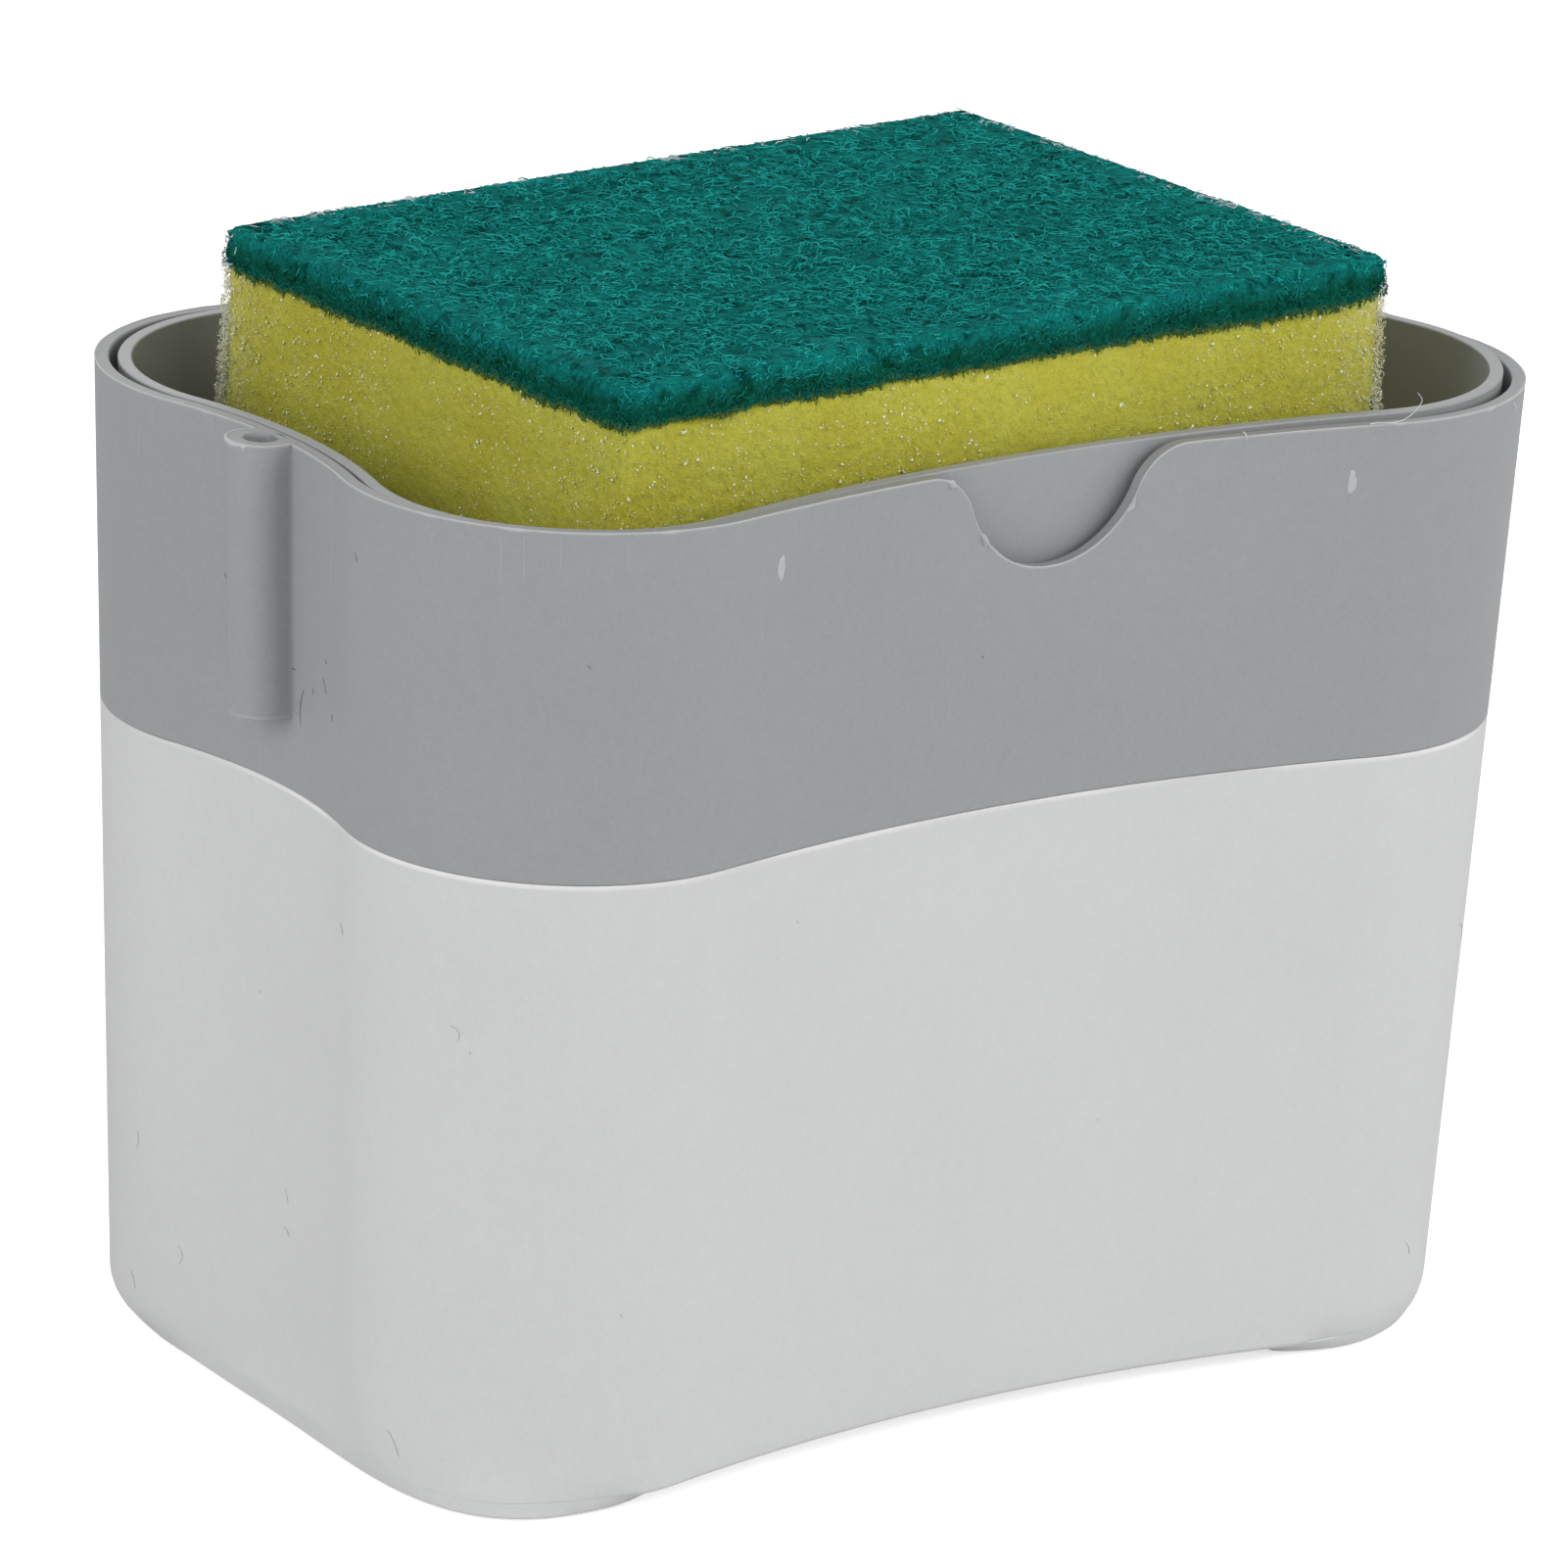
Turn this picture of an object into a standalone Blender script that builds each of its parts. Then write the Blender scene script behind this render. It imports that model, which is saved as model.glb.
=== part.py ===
"""Dish soap dispenser that is worked by pressing a sponge: a waisted tub holds the soap, a collar plugs into
it and carries a lift pump, and a tray on the pump's stem holds the sponge. Lengths are in metres and +Z is up.
The long side is along X, the finger notch faces -Y, and the origin is on the ground under the middle."""

import math

import bmesh
import bpy
import numpy as np

# Sponge
SPONGE_LENGTH = 0.1000
SPONGE_WIDTH = 0.0710
FOAM_HEIGHT = 0.0242
PAD_HEIGHT = 0.0055
SPONGE_SHIFT = 0.0010
FOAM_EDGE = 0.0012
PAD_EDGE = 0.0008

# Outline of the tub at ground level, drawn round the sponge: corner arcs joined by sides that are pulled in
# towards their middles. All walls lean outwards
SPONGE_SIDE_ROOM = 0.0019
SPONGE_END_ROOM = 0.0121
SIDE_PULL_IN = 0.00488
END_PULL_IN = 0.00315
CORNER_RADIUS = 0.01981
DRAFT_SHARE = 0.0394
WAIST_HALF_WIDTH = SPONGE_WIDTH / 2.0 + SPONGE_SIDE_ROOM
WAIST_HALF_LENGTH = SPONGE_LENGTH / 2.0 + SPONGE_END_ROOM
CORNER_X = WAIST_HALF_LENGTH + END_PULL_IN - CORNER_RADIUS
CORNER_Y = WAIST_HALF_WIDTH + SIDE_PULL_IN - CORNER_RADIUS

# Heights above the ground
BODY_HEIGHT = 0.1036
COLLAR_HEIGHT = 0.0361
SEAM_HEIGHT = BODY_HEIGHT - COLLAR_HEIGHT
BASE_LIFT = 0.00163

# Tub
TUB_WALL = 0.0018
TUB_FLOOR = 0.0020
BASE_ROUND = 0.0026
TUB_INNER_ROUND = 0.0030
FOOT_LEDGE = 0.0018
FOOT_LENGTH = 0.0219
FOOT_SIDE_SETBACK = 0.00228
FOOT_CORNER_RADIUS = 0.0150
FOOT_ROOT = 0.0005
FOOT_OUTER_X = WAIST_HALF_LENGTH + FOOT_LEDGE
FOOT_INNER_X = FOOT_OUTER_X - FOOT_LENGTH
FOOT_HALF_WIDTH = CORNER_Y + CORNER_RADIUS - FOOT_SIDE_SETBACK

# Collar: wall, plug inside the tub, deck, neck for the pump
COLLAR_WALL = 0.0015
PLUG_WALL = 0.0015
PLUG_CHAMFER = 0.0010
DECK_THICKNESS = 0.0018
LEDGE_THICKNESS = 0.0016
NECK_HEIGHT = 0.0079
NECK_WALL = 0.0025
NECK_BEAD = 0.0005
NECK_BEAD_HEIGHT = 0.0012
NECK_BEAD_DROP = 0.0034
NOTCH_DEPTH = 0.0112
NOTCH_RADIUS = 0.0115
NOTCH_SHOULDER = 0.0063
BOSS_STAND_OFF = 0.0059
BOSS_RADIUS = 0.0036
BOSS_LENGTH = 0.0302
BOSS_BORE_RADIUS = 0.0017
BOSS_BORE_DEPTH = 0.0200

# Sponge tray
TRAY_GAP = 0.0009
TRAY_WALL = 0.00145
TRAY_RISE = 0.0005
TRAY_DEPTH = 0.0188
TRAY_FLOOR = 0.0016
TRAY_ROUND = 0.0030
POCKET_RADIUS = 0.0104
POCKET_DEPTH = 0.0012
HUB_WALL = 0.0027
HUB_DROP = 0.0030
RIB_HEIGHT = 0.0012
RIB_WIDTH = 0.0016
RIB_LENGTH = 0.0500
RIB_FIRST = 0.0165
RIB_PITCH = 0.0120

# Pump
PRESS_STROKE = 0.0110
PRESS_CLEARANCE = 0.0005
BARREL_BORE = 0.0060
BARREL_WALL = 0.0014
BARREL_SHOULDER = 0.0018
HOUSING_FLANGE = 0.0015
GASKET_THICKNESS = 0.0012
CAP_WEB = 0.0015
CAP_WALL = 0.0018
CAP_LIP = 0.0005
CAP_LIP_HEIGHT = 0.0012
CAP_SKIRT_CLEARANCE = 0.0008
GUIDE_FLANGE = 0.0012
GUIDE_FLANGE_OVERLAP = 0.0017
GUIDE_WALL = 0.0025
GUIDE_LENGTH = 0.0080
STEM_RADIUS = 0.0033
STEM_BORE = 0.0019
STEM_COLLAR_RADIUS = 0.0046
STEM_COLLAR_HEIGHT = 0.0012
PISTON_LENGTH = 0.0050
PISTON_LIP = 0.0010
PISTON_WAIST = 0.0008
POPPET_RADIUS = 0.0048
POPPET_THICKNESS = 0.0014
POPPET_SHANK = 0.0050
POPPET_BORE = 0.0009
SPRING_MEAN_RADIUS = 0.0043
SPRING_WIRE_RADIUS = 0.00045
SPRING_END_PITCH = 0.0014
CAGE_LENGTH = 0.0024
CAGE_BORE = 0.0016
INLET_BALL_RADIUS = 0.0024
INLET_SEAT_RADIUS = 0.0016
INLET_CONE_HEIGHT = 0.0012
INLET_LIFT = 0.0009
BALL_SIDE_GAP = 0.0005
SEAT_LAND = 0.0015
SPIGOT_LENGTH = 0.0070
SPIGOT_WALL = 0.0016
PUMP_FLOOR_ROOM = 0.0099
DIP_TUBE_RADIUS = 0.0031
DIP_TUBE_WALL = 0.0010
DIP_TUBE_ROOM = 0.0020

# Outlet at the middle of the tray
NOZZLE_RADIUS = 0.0050
NOZZLE_FLANGE_RADIUS = 0.0090
NOZZLE_FLANGE = 0.0010
NOZZLE_REACH = 0.0040
WASHER_THICKNESS = 0.0008
OUTLET_CAP_LENGTH = 0.0022
OUTLET_HOLE_RADIUS = 0.0006
OUTLET_HOLE_PITCH = 0.0017
OUTLET_BALL_RADIUS = 0.0017
OUTLET_SEAT_RADIUS = 0.0011
OUTLET_CONE_HEIGHT = 0.0009
OUTLET_LIFT = 0.0006
OUTLET_SIDE_GAP = 0.0004

# Fits and counts
FIT = 0.0003
CUT_OVERRUN = 0.0020
MERGE = 0.00001
SHORT_STEPS = 3
CORNER_STEPS = 10
LONG_STEPS = 4
ROUND_STEPS = 3
TURN_STEPS = 24
SMALL_HOLE_STEPS = 12
NOTCH_STEPS = 10
BOSS_STEPS = 12
SPRING_TURNS = 7
SPRING_END_TURNS = 1
SPRING_POINTS = 9
RIBS_PER_SIDE = 3
OUTLET_HOLES = 3
SMOOTH_ANGLE = math.radians(35.0)

# Heights worked out from the sizes above, from the tray down to the deck
tray_rim = BODY_HEIGHT + TRAY_RISE
tray_floor = tray_rim - TRAY_DEPTH
tray_under = tray_floor - TRAY_FLOOR
rib_top = tray_floor + RIB_HEIGHT
pocket_floor = tray_floor - POCKET_DEPTH
pocket_under = tray_under - POCKET_DEPTH
hub_bottom = pocket_under - HUB_DROP
guide_top = hub_bottom - PRESS_STROKE - PRESS_CLEARANCE
guide_seat = guide_top - GUIDE_FLANGE
cap_top = guide_seat - FIT
cap_web_under = cap_top - CAP_WEB
flange_top = cap_web_under - FIT
flange_under = flange_top - HOUSING_FLANGE
gasket_top = flange_under - FIT
gasket_under = gasket_top - GASKET_THICKNESS
neck_top = gasket_under - FIT
deck_top = neck_top - NECK_HEIGHT
deck_under = deck_top - DECK_THICKNESS

# Heights of the pump's moving parts
guide_bottom = guide_seat - GUIDE_LENGTH
barrel_step = guide_bottom - FIT
piston_bottom = barrel_step - PISTON_LENGTH
poppet_top = piston_bottom - FIT
poppet_bottom = poppet_top - POPPET_THICKNESS
spring_top = poppet_bottom - FIT

# Heights of the pump's foot, from the tub's floor upwards
tub_floor = BASE_LIFT + TUB_FLOOR
tub_rim = SEAM_HEIGHT - FIT
spigot_end = tub_floor + PUMP_FLOOR_ROOM
spigot_top = spigot_end + SPIGOT_LENGTH
inlet_seat = spigot_top + SEAT_LAND
inlet_ball_z = inlet_seat + math.sqrt((INLET_BALL_RADIUS + FIT) ** 2 - INLET_SEAT_RADIUS ** 2)
cage_bottom = inlet_ball_z + INLET_BALL_RADIUS + INLET_LIFT + FIT
cage_top = cage_bottom + CAGE_LENGTH
cage_ledge = cage_bottom - FIT
spring_bottom = cage_top + FIT

# Heights at the outlet
outlet_cap_under = rib_top - OUTLET_CAP_LENGTH
stem_top = outlet_cap_under - FIT
outlet_ball_z = stem_top - OUTLET_LIFT - OUTLET_BALL_RADIUS
outlet_seat = outlet_ball_z - math.sqrt((OUTLET_BALL_RADIUS + FIT) ** 2 - OUTLET_SEAT_RADIUS ** 2)

# Radii that follow from their neighbours
plug_inset = TUB_WALL + FIT
tray_inset = COLLAR_WALL + TRAY_GAP
guide_bore = NOZZLE_RADIUS + FIT
guide_radius = guide_bore + GUIDE_WALL
barrel_counterbore = guide_radius + FIT
barrel_radius = barrel_counterbore + BARREL_WALL
neck_bore = barrel_radius + FIT
neck_radius = neck_bore + NECK_WALL
cap_bore = neck_radius + NECK_BEAD + FIT
hub_bore = NOZZLE_RADIUS + FIT
spigot_bore = DIP_TUBE_RADIUS + FIT
stem_seat = STEM_RADIUS + FIT


def finish(name, colour, roughness, metallic=0.0):
    """A plain Principled material."""
    material = bpy.data.materials.new(name)
    material.use_nodes = True
    shader = material.node_tree.nodes["Principled BSDF"]
    shader.inputs["Base Color"].default_value = (*colour, 1.0)
    shader.inputs["Roughness"].default_value = roughness
    shader.inputs["Metallic"].default_value = metallic
    material.diffuse_color = (*colour, 1.0)
    return material


def add_object(name, data, collection, material=None):
    """A new object in a collection, with its material."""
    thing = bpy.data.objects.new(name, data)
    collection.objects.link(thing)
    if material:
        data.materials.append(material)
    return thing


def smooth(thing):
    """Rounded faces shaded smooth, with their real edges kept sharp."""
    thing.data.shade_smooth()
    thing.data.set_sharp_from_angle(angle=SMOOTH_ANGLE)


def mesh_from(bm, name):
    """A mesh from a bmesh, which is then freed."""
    mesh = bpy.data.meshes.new(name)
    bm.to_mesh(mesh)
    bm.free()
    return mesh


def arc(centre_x, centre_y, radius, start, end, steps):
    """Points along an arc, from one angle to another."""
    angles = np.linspace(start, end, steps + 1)
    return np.column_stack((centre_x + radius * np.cos(angles), centre_y + radius * np.sin(angles)))


def side(middle, corner_out, corner_along, offset, steps):
    """Half a side of the outline, from its middle to the corner arc that it runs into, with the angle that it
    turns through. It is one arc, whose curvature follows from how far its middle is pulled in; it bows
    outwards where the middle stands proud of the corners, and is straight where they are level."""
    pull_in = corner_out + CORNER_RADIUS - middle
    curvature = 2.0 * pull_in / ((middle - corner_out) ** 2 + corner_along ** 2 - CORNER_RADIUS ** 2)
    chord = corner_along / (1.0 + curvature * CORNER_RADIUS)
    angle = math.asin(curvature * chord)
    part = np.linspace(0.0, 1.0, steps + 1)
    turn = part * angle
    length = part * chord / np.sinc(angle / math.pi)
    along = length * np.sinc(turn / math.pi) - offset * np.sin(turn)
    out = middle + length * np.sinc(turn / 2.0 / math.pi) * np.sin(turn / 2.0) + offset * np.cos(turn)
    return along, out, angle


def outline(offset):
    """The waisted outline moved outwards by offset. In each quarter a short side, a corner arc and a long side
    run into each other."""
    short_along, short_out, short_angle = side(WAIST_HALF_LENGTH, CORNER_X, CORNER_Y, offset, SHORT_STEPS)
    long_along, long_out, long_angle = side(WAIST_HALF_WIDTH, CORNER_Y, CORNER_X, offset, LONG_STEPS)
    corner = arc(CORNER_X, CORNER_Y, CORNER_RADIUS + offset,
                 -short_angle, math.pi / 2.0 + long_angle, CORNER_STEPS)
    short_side = np.column_stack((short_out, short_along))
    long_side = np.column_stack((long_along, long_out))[::-1]
    quarter = np.concatenate((short_side, corner[1:], long_side[1:]))
    left = (quarter * (-1.0, 1.0))[::-1]
    return np.concatenate((quarter, left[1:], -quarter[1:], -left[1:-1]))


def body_ring(inset, z):
    """The outline at a height, moved in from the leaning outer wall."""
    points = outline(DRAFT_SHARE * z - inset)
    return np.column_stack((points, np.full(len(points), z)))


def round_ring(radius, z):
    """A circle with as many points as the outline."""
    count = 4 * (SHORT_STEPS + CORNER_STEPS + LONG_STEPS)
    points = arc(0.0, 0.0, radius, 0.0, 2.0 * math.pi, count)[:-1]
    return np.column_stack((points, np.full(count, z)))


def floor_round(inset, z, radius):
    """Insets and heights along the round between a floor and a wall, from the floor up."""
    angles = np.linspace(0.0, math.pi / 2.0, ROUND_STEPS + 1)
    return [(inset + radius * (1.0 - math.sin(a)), z + radius * (1.0 - math.cos(a))) for a in angles]


def loft(name, rings, collection, material=None, capped=False):
    """Faces between rings of equal count. The rings go up the inside and down the outside. The last ring
    joins the first, or both are capped."""
    bm = bmesh.new()
    rows = [[bm.verts.new(point) for point in ring] for ring in rings]
    pairs = list(zip(rows, rows[1:])) + ([] if capped else [(rows[-1], rows[0])])
    for upper, lower in pairs:
        for j in range(len(upper)):
            k = (j + 1) % len(upper)
            bm.faces.new((upper[j], lower[j], lower[k], upper[k]))
    if capped:
        bm.faces.new(rows[0])
        bm.faces.new(rows[-1][::-1])
    thing = add_object(name, mesh_from(bm, name), collection, material)
    smooth(thing)
    return thing


def turned(name, profile, collection, material=None, steps=TURN_STEPS):
    """A closed profile of radius and height, listed down its outer side, turned about Z."""
    mesh = bpy.data.meshes.new(name)
    count = len(profile)
    on_axis = profile[0][0] == 0.0
    edges = [(i, (i + 1) % count) for i in range(count - 1 if on_axis else count)]
    mesh.from_pydata([(radius, 0.0, z) for radius, z in profile], edges, [])
    thing = add_object(name, mesh, collection, material)
    screw = thing.modifiers.new("turn", "SCREW")
    screw.steps = screw.render_steps = steps
    screw.use_merge_vertices = True
    screw.merge_threshold = MERGE
    screw.use_smooth_shade = True
    return thing


def ball(name, radius, z, collection, material):
    """A ball on the pump's axis."""
    bm = bmesh.new()
    bmesh.ops.create_uvsphere(bm, u_segments=16, v_segments=10, radius=radius)
    thing = add_object(name, mesh_from(bm, name), collection, material)
    thing.location = (0.0, 0.0, z)
    smooth(thing)
    return thing


def box(name, low, high, collection, material=None, edge=0.0):
    """A block between two corners, with rounded edges where an edge is given."""
    bm = bmesh.new()
    bmesh.ops.create_cube(bm, size=1.0)
    size = np.subtract(high, low)
    bmesh.ops.scale(bm, vec=size, verts=bm.verts)
    thing = add_object(name, mesh_from(bm, name), collection, material)
    thing.location = np.add(low, high) / 2.0
    if edge:
        bevel = thing.modifiers.new("edge", "BEVEL")
        bevel.width = edge
        bevel.segments = 2
    return thing


def flat_plate(name, points, thickness, collection):
    """A flat outline given a thickness about its own plane, as a mesh."""
    curve = bpy.data.curves.new(name, "CURVE")
    curve.dimensions = "2D"
    curve.fill_mode = "BOTH"
    curve.extrude = thickness / 2.0
    spline = curve.splines.new("POLY")
    spline.points.add(len(points) - 1)
    for target, (x, y) in zip(spline.points, points):
        target.co = (x, y, 0.0, 1.0)
    spline.use_cyclic_u = True
    drawn = bpy.data.objects.new(name, curve)
    collection.objects.link(drawn)
    mesh = bpy.data.meshes.new_from_object(drawn.evaluated_get(bpy.context.evaluated_depsgraph_get()))
    bpy.data.objects.remove(drawn)
    bm = bmesh.new()
    bm.from_mesh(mesh)
    bmesh.ops.remove_doubles(bm, verts=bm.verts, dist=MERGE)
    bm.to_mesh(mesh)
    bm.free()
    return add_object(name, mesh, collection)


def combine(thing, tool, operation):
    """Cuts a tool out of a piece, or joins it on, and hides the tool."""
    boolean = thing.modifiers.new(tool.name, "BOOLEAN")
    boolean.operation = operation
    boolean.object = tool
    tool.hide_render = True
    tool.display_type = "WIRE"


def tub(parts, tools, material):
    """The soap tub: a drafted shell, with two flat feet under its ends."""
    inner = [body_ring(inset, z) for inset, z in floor_round(TUB_WALL, tub_floor, TUB_INNER_ROUND)]
    outer = [body_ring(inset, z) for inset, z in floor_round(0.0, BASE_LIFT, BASE_ROUND)][::-1]
    rings = inner + [body_ring(TUB_WALL, tub_rim), body_ring(0.0, tub_rim)] + outer
    thing = loft("reservoir", rings, parts, material, capped=True)
    corner_x = FOOT_OUTER_X - FOOT_CORNER_RADIUS
    corner_y = FOOT_HALF_WIDTH - FOOT_CORNER_RADIUS
    upper = arc(corner_x, corner_y, FOOT_CORNER_RADIUS, 0.0, math.pi / 2.0, ROUND_STEPS * 2)
    points = [*upper, (FOOT_INNER_X, FOOT_HALF_WIDTH)]
    points += [(x, -y) for x, y in points[::-1]]
    thickness = BASE_LIFT + FOOT_ROOT
    for side, sign in (("left", -1.0), ("right", 1.0)):
        foot = flat_plate(f"foot_{side}", [(sign * x, y) for x, y in points], thickness, tools)
        foot.location = (0.0, 0.0, thickness / 2.0)
        combine(thing, foot, "UNION")
    return thing


def boss_rings():
    """The half-round socket on an end wall: a nose about the bore and an inner edge inside the leaning wall."""
    centre = WAIST_HALF_LENGTH + BOSS_STAND_OFF
    nose = arc(centre, 0.0, BOSS_RADIUS, -math.pi / 2.0, math.pi / 2.0, BOSS_STEPS)
    rings = []
    for z in (BODY_HEIGHT, BODY_HEIGHT - BOSS_LENGTH):
        inner = WAIST_HALF_LENGTH + DRAFT_SHARE * z - COLLAR_WALL / 2.0
        points = np.concatenate((nose, ((inner, BOSS_RADIUS), (inner, -BOSS_RADIUS))))
        rings.append(np.column_stack((points, np.full(len(points), z))))
    return rings


def notch_outline():
    """The finger notch seen from the front: a round bottom that flows into a rounded shoulder on each side."""
    bottom_centre = BODY_HEIGHT - NOTCH_DEPTH + NOTCH_RADIUS
    shoulder_centre = BODY_HEIGHT - NOTCH_SHOULDER
    drop = bottom_centre - shoulder_centre
    reach = math.sqrt((NOTCH_RADIUS + NOTCH_SHOULDER) ** 2 - drop ** 2)
    tilt = math.atan2(drop, reach)
    bottom = arc(0.0, bottom_centre, NOTCH_RADIUS, -math.pi / 2.0, -tilt, NOTCH_STEPS)
    shoulder = arc(reach, shoulder_centre, NOTCH_SHOULDER, math.pi - tilt, math.pi / 2.0, NOTCH_STEPS)
    top = (reach, BODY_HEIGHT + CUT_OVERRUN)
    right = np.concatenate((bottom, shoulder[1:], (top,)))
    return np.concatenate((right, (right * (-1.0, 1.0))[::-1][:-1]))


def collar(parts, tools, material):
    """The collar in one piece: outer wall, plug, deck and pump neck, with the notch and the two sockets."""
    plug_face = plug_inset + PLUG_WALL
    bead_z = neck_top - NECK_BEAD_DROP
    ledge_top = SEAM_HEIGHT + LEDGE_THICKNESS
    rings = [
        body_ring(0.0, BODY_HEIGHT),
        body_ring(0.0, SEAM_HEIGHT),
        body_ring(plug_inset, SEAM_HEIGHT),
        body_ring(plug_inset, deck_under + PLUG_CHAMFER),
        body_ring(plug_inset + PLUG_CHAMFER, deck_under),
        round_ring(neck_bore, deck_under),
        round_ring(neck_bore, neck_top),
        round_ring(neck_radius, neck_top),
        round_ring(neck_radius, bead_z + NECK_BEAD_HEIGHT / 2.0),
        round_ring(neck_radius + NECK_BEAD, bead_z),
        round_ring(neck_radius, bead_z - NECK_BEAD_HEIGHT / 2.0),
        round_ring(neck_radius, deck_top),
        body_ring(plug_face, deck_top),
        body_ring(plug_face, ledge_top),
        body_ring(COLLAR_WALL, ledge_top + plug_face - COLLAR_WALL),
        body_ring(COLLAR_WALL, BODY_HEIGHT),
    ]
    thing = loft("collar", rings, parts, material)
    bore_x = WAIST_HALF_LENGTH + BOSS_STAND_OFF
    boss = boss_rings()
    for side, sign in (("left", -1.0), ("right", 1.0)):
        turn = (sign, sign, 1.0)
        socket = loft(f"socket_{side}", [ring * turn for ring in boss], tools, capped=True)
        socket.data.flip_normals()
        combine(thing, socket, "UNION")
        drill = turned(f"socket_bore_{side}", [
            (0.0, BODY_HEIGHT + CUT_OVERRUN),
            (BOSS_BORE_RADIUS, BODY_HEIGHT + CUT_OVERRUN),
            (BOSS_BORE_RADIUS, BODY_HEIGHT - BOSS_BORE_DEPTH),
            (0.0, BODY_HEIGHT - BOSS_BORE_DEPTH)], tools, steps=SMALL_HOLE_STEPS)
        drill.location = (sign * bore_x, 0.0, 0.0)
        combine(thing, drill, "DIFFERENCE")
    wall_y = WAIST_HALF_WIDTH + DRAFT_SHARE * BODY_HEIGHT
    notch = flat_plate("finger_notch", notch_outline(), 2.0 * NOTCH_RADIUS, tools)
    notch.rotation_euler = (math.pi / 2.0, 0.0, 0.0)
    notch.location = (0.0, -wall_y, 0.0)
    combine(thing, notch, "DIFFERENCE")
    return thing


def sponge_tray(parts, tools, material):
    """The tray: a drafted basin with a round pocket and hub for the outlet, and ribs that lift the sponge."""
    under = [body_ring(inset, z) for inset, z in floor_round(tray_inset, tray_under, TRAY_ROUND)][::-1]
    floor = [body_ring(inset, z) for inset, z in floor_round(tray_inset + TRAY_WALL, tray_floor, TRAY_ROUND)]
    rings = [body_ring(tray_inset, tray_rim)] + under + [
        round_ring(POCKET_RADIUS + TRAY_FLOOR, tray_under),
        round_ring(POCKET_RADIUS + TRAY_FLOOR, pocket_under),
        round_ring(hub_bore + HUB_WALL, pocket_under),
        round_ring(hub_bore + HUB_WALL, hub_bottom),
        round_ring(hub_bore, hub_bottom),
        round_ring(hub_bore, pocket_floor),
        round_ring(POCKET_RADIUS, pocket_floor),
        round_ring(POCKET_RADIUS, tray_floor),
    ] + floor + [body_ring(tray_inset + TRAY_WALL, tray_rim)]
    thing = loft("sponge_tray", rings, parts, material)
    for side, sign in (("left", -1.0), ("right", 1.0)):
        for i in range(RIBS_PER_SIDE):
            x = sign * (RIB_FIRST + i * RIB_PITCH)
            rib = box(f"rib_{side}_{i + 1}",
                      (x - RIB_WIDTH / 2.0, -RIB_LENGTH / 2.0, tray_floor - TRAY_FLOOR / 2.0),
                      (x + RIB_WIDTH / 2.0, RIB_LENGTH / 2.0, rib_top), tools)
            combine(thing, rib, "UNION")
    return thing


def sponge(parts, foam_finish, pad_finish):
    """The sponge: a foam block that lies on the ribs, and the scouring pad glued on it."""
    foam_low = rib_top + FIT
    foam_high = foam_low + FOAM_HEIGHT
    pad_low = foam_high + FIT
    x_low, x_high = -SPONGE_SHIFT - SPONGE_LENGTH / 2.0, -SPONGE_SHIFT + SPONGE_LENGTH / 2.0
    y_half = SPONGE_WIDTH / 2.0
    foam = box("foam_block", (x_low, -y_half, foam_low), (x_high, y_half, foam_high),
               parts, foam_finish, FOAM_EDGE)
    pad = box("scouring_pad", (x_low, -y_half, pad_low), (x_high, y_half, pad_low + PAD_HEIGHT),
              parts, pad_finish, PAD_EDGE)
    return foam, pad


def pump_housing(parts, material):
    """The pump barrel: flange, wide top for the guide, bore, ball chamber and seat, and dip tube spigot."""
    bore_radius = BARREL_BORE + BARREL_WALL
    chamber = INLET_BALL_RADIUS + BALL_SIDE_GAP
    spigot_radius = spigot_bore + SPIGOT_WALL
    return turned("pump_housing", [
        (neck_radius, flange_top),
        (neck_radius, flange_under),
        (barrel_radius, flange_under),
        (barrel_radius, barrel_step - BARREL_WALL),
        (bore_radius, barrel_step - BARREL_WALL - BARREL_SHOULDER),
        (bore_radius, cage_ledge - BARREL_WALL),
        (spigot_radius, cage_ledge - BARREL_WALL - BARREL_SHOULDER),
        (spigot_radius, spigot_end),
        (spigot_bore, spigot_end),
        (spigot_bore, spigot_top),
        (INLET_SEAT_RADIUS, spigot_top),
        (INLET_SEAT_RADIUS, inlet_seat),
        (chamber, inlet_seat + INLET_CONE_HEIGHT),
        (chamber, cage_ledge),
        (BARREL_BORE, cage_ledge),
        (BARREL_BORE, barrel_step),
        (barrel_counterbore, barrel_step),
        (barrel_counterbore, flange_top)], parts, material)


def ring(name, inner, outer, low, high, parts, material):
    """A plain turned ring."""
    return turned(name, [(outer, high), (outer, low), (inner, low), (inner, high)], parts, material)


def retaining_cap(parts, material):
    """The cap that snaps over the neck's bead and holds down the pump's flange."""
    cap_radius = cap_bore + CAP_WALL
    skirt_bottom = deck_top + CAP_SKIRT_CLEARANCE
    lip_top = neck_top - NECK_BEAD_DROP - NECK_BEAD_HEIGHT / 2.0 - FIT
    return turned("retaining_cap", [
        (cap_radius, cap_top),
        (cap_radius, skirt_bottom),
        (cap_bore, skirt_bottom),
        (cap_bore, lip_top - CAP_LIP_HEIGHT),
        (cap_bore - CAP_LIP, lip_top),
        (cap_bore, lip_top),
        (cap_bore, cap_web_under),
        (barrel_counterbore, cap_web_under),
        (barrel_counterbore, cap_top)], parts, material)


def stem_guide(parts, material):
    """The guide pressed into the barrel's top: it holds the piston down and guides the nozzle's tube."""
    flange_radius = barrel_counterbore + GUIDE_FLANGE_OVERLAP
    return turned("stem_guide", [
        (flange_radius, guide_top),
        (flange_radius, guide_seat),
        (guide_radius, guide_seat),
        (guide_radius, guide_bottom),
        (guide_bore, guide_bottom),
        (guide_bore, guide_top)], parts, material)


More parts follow.
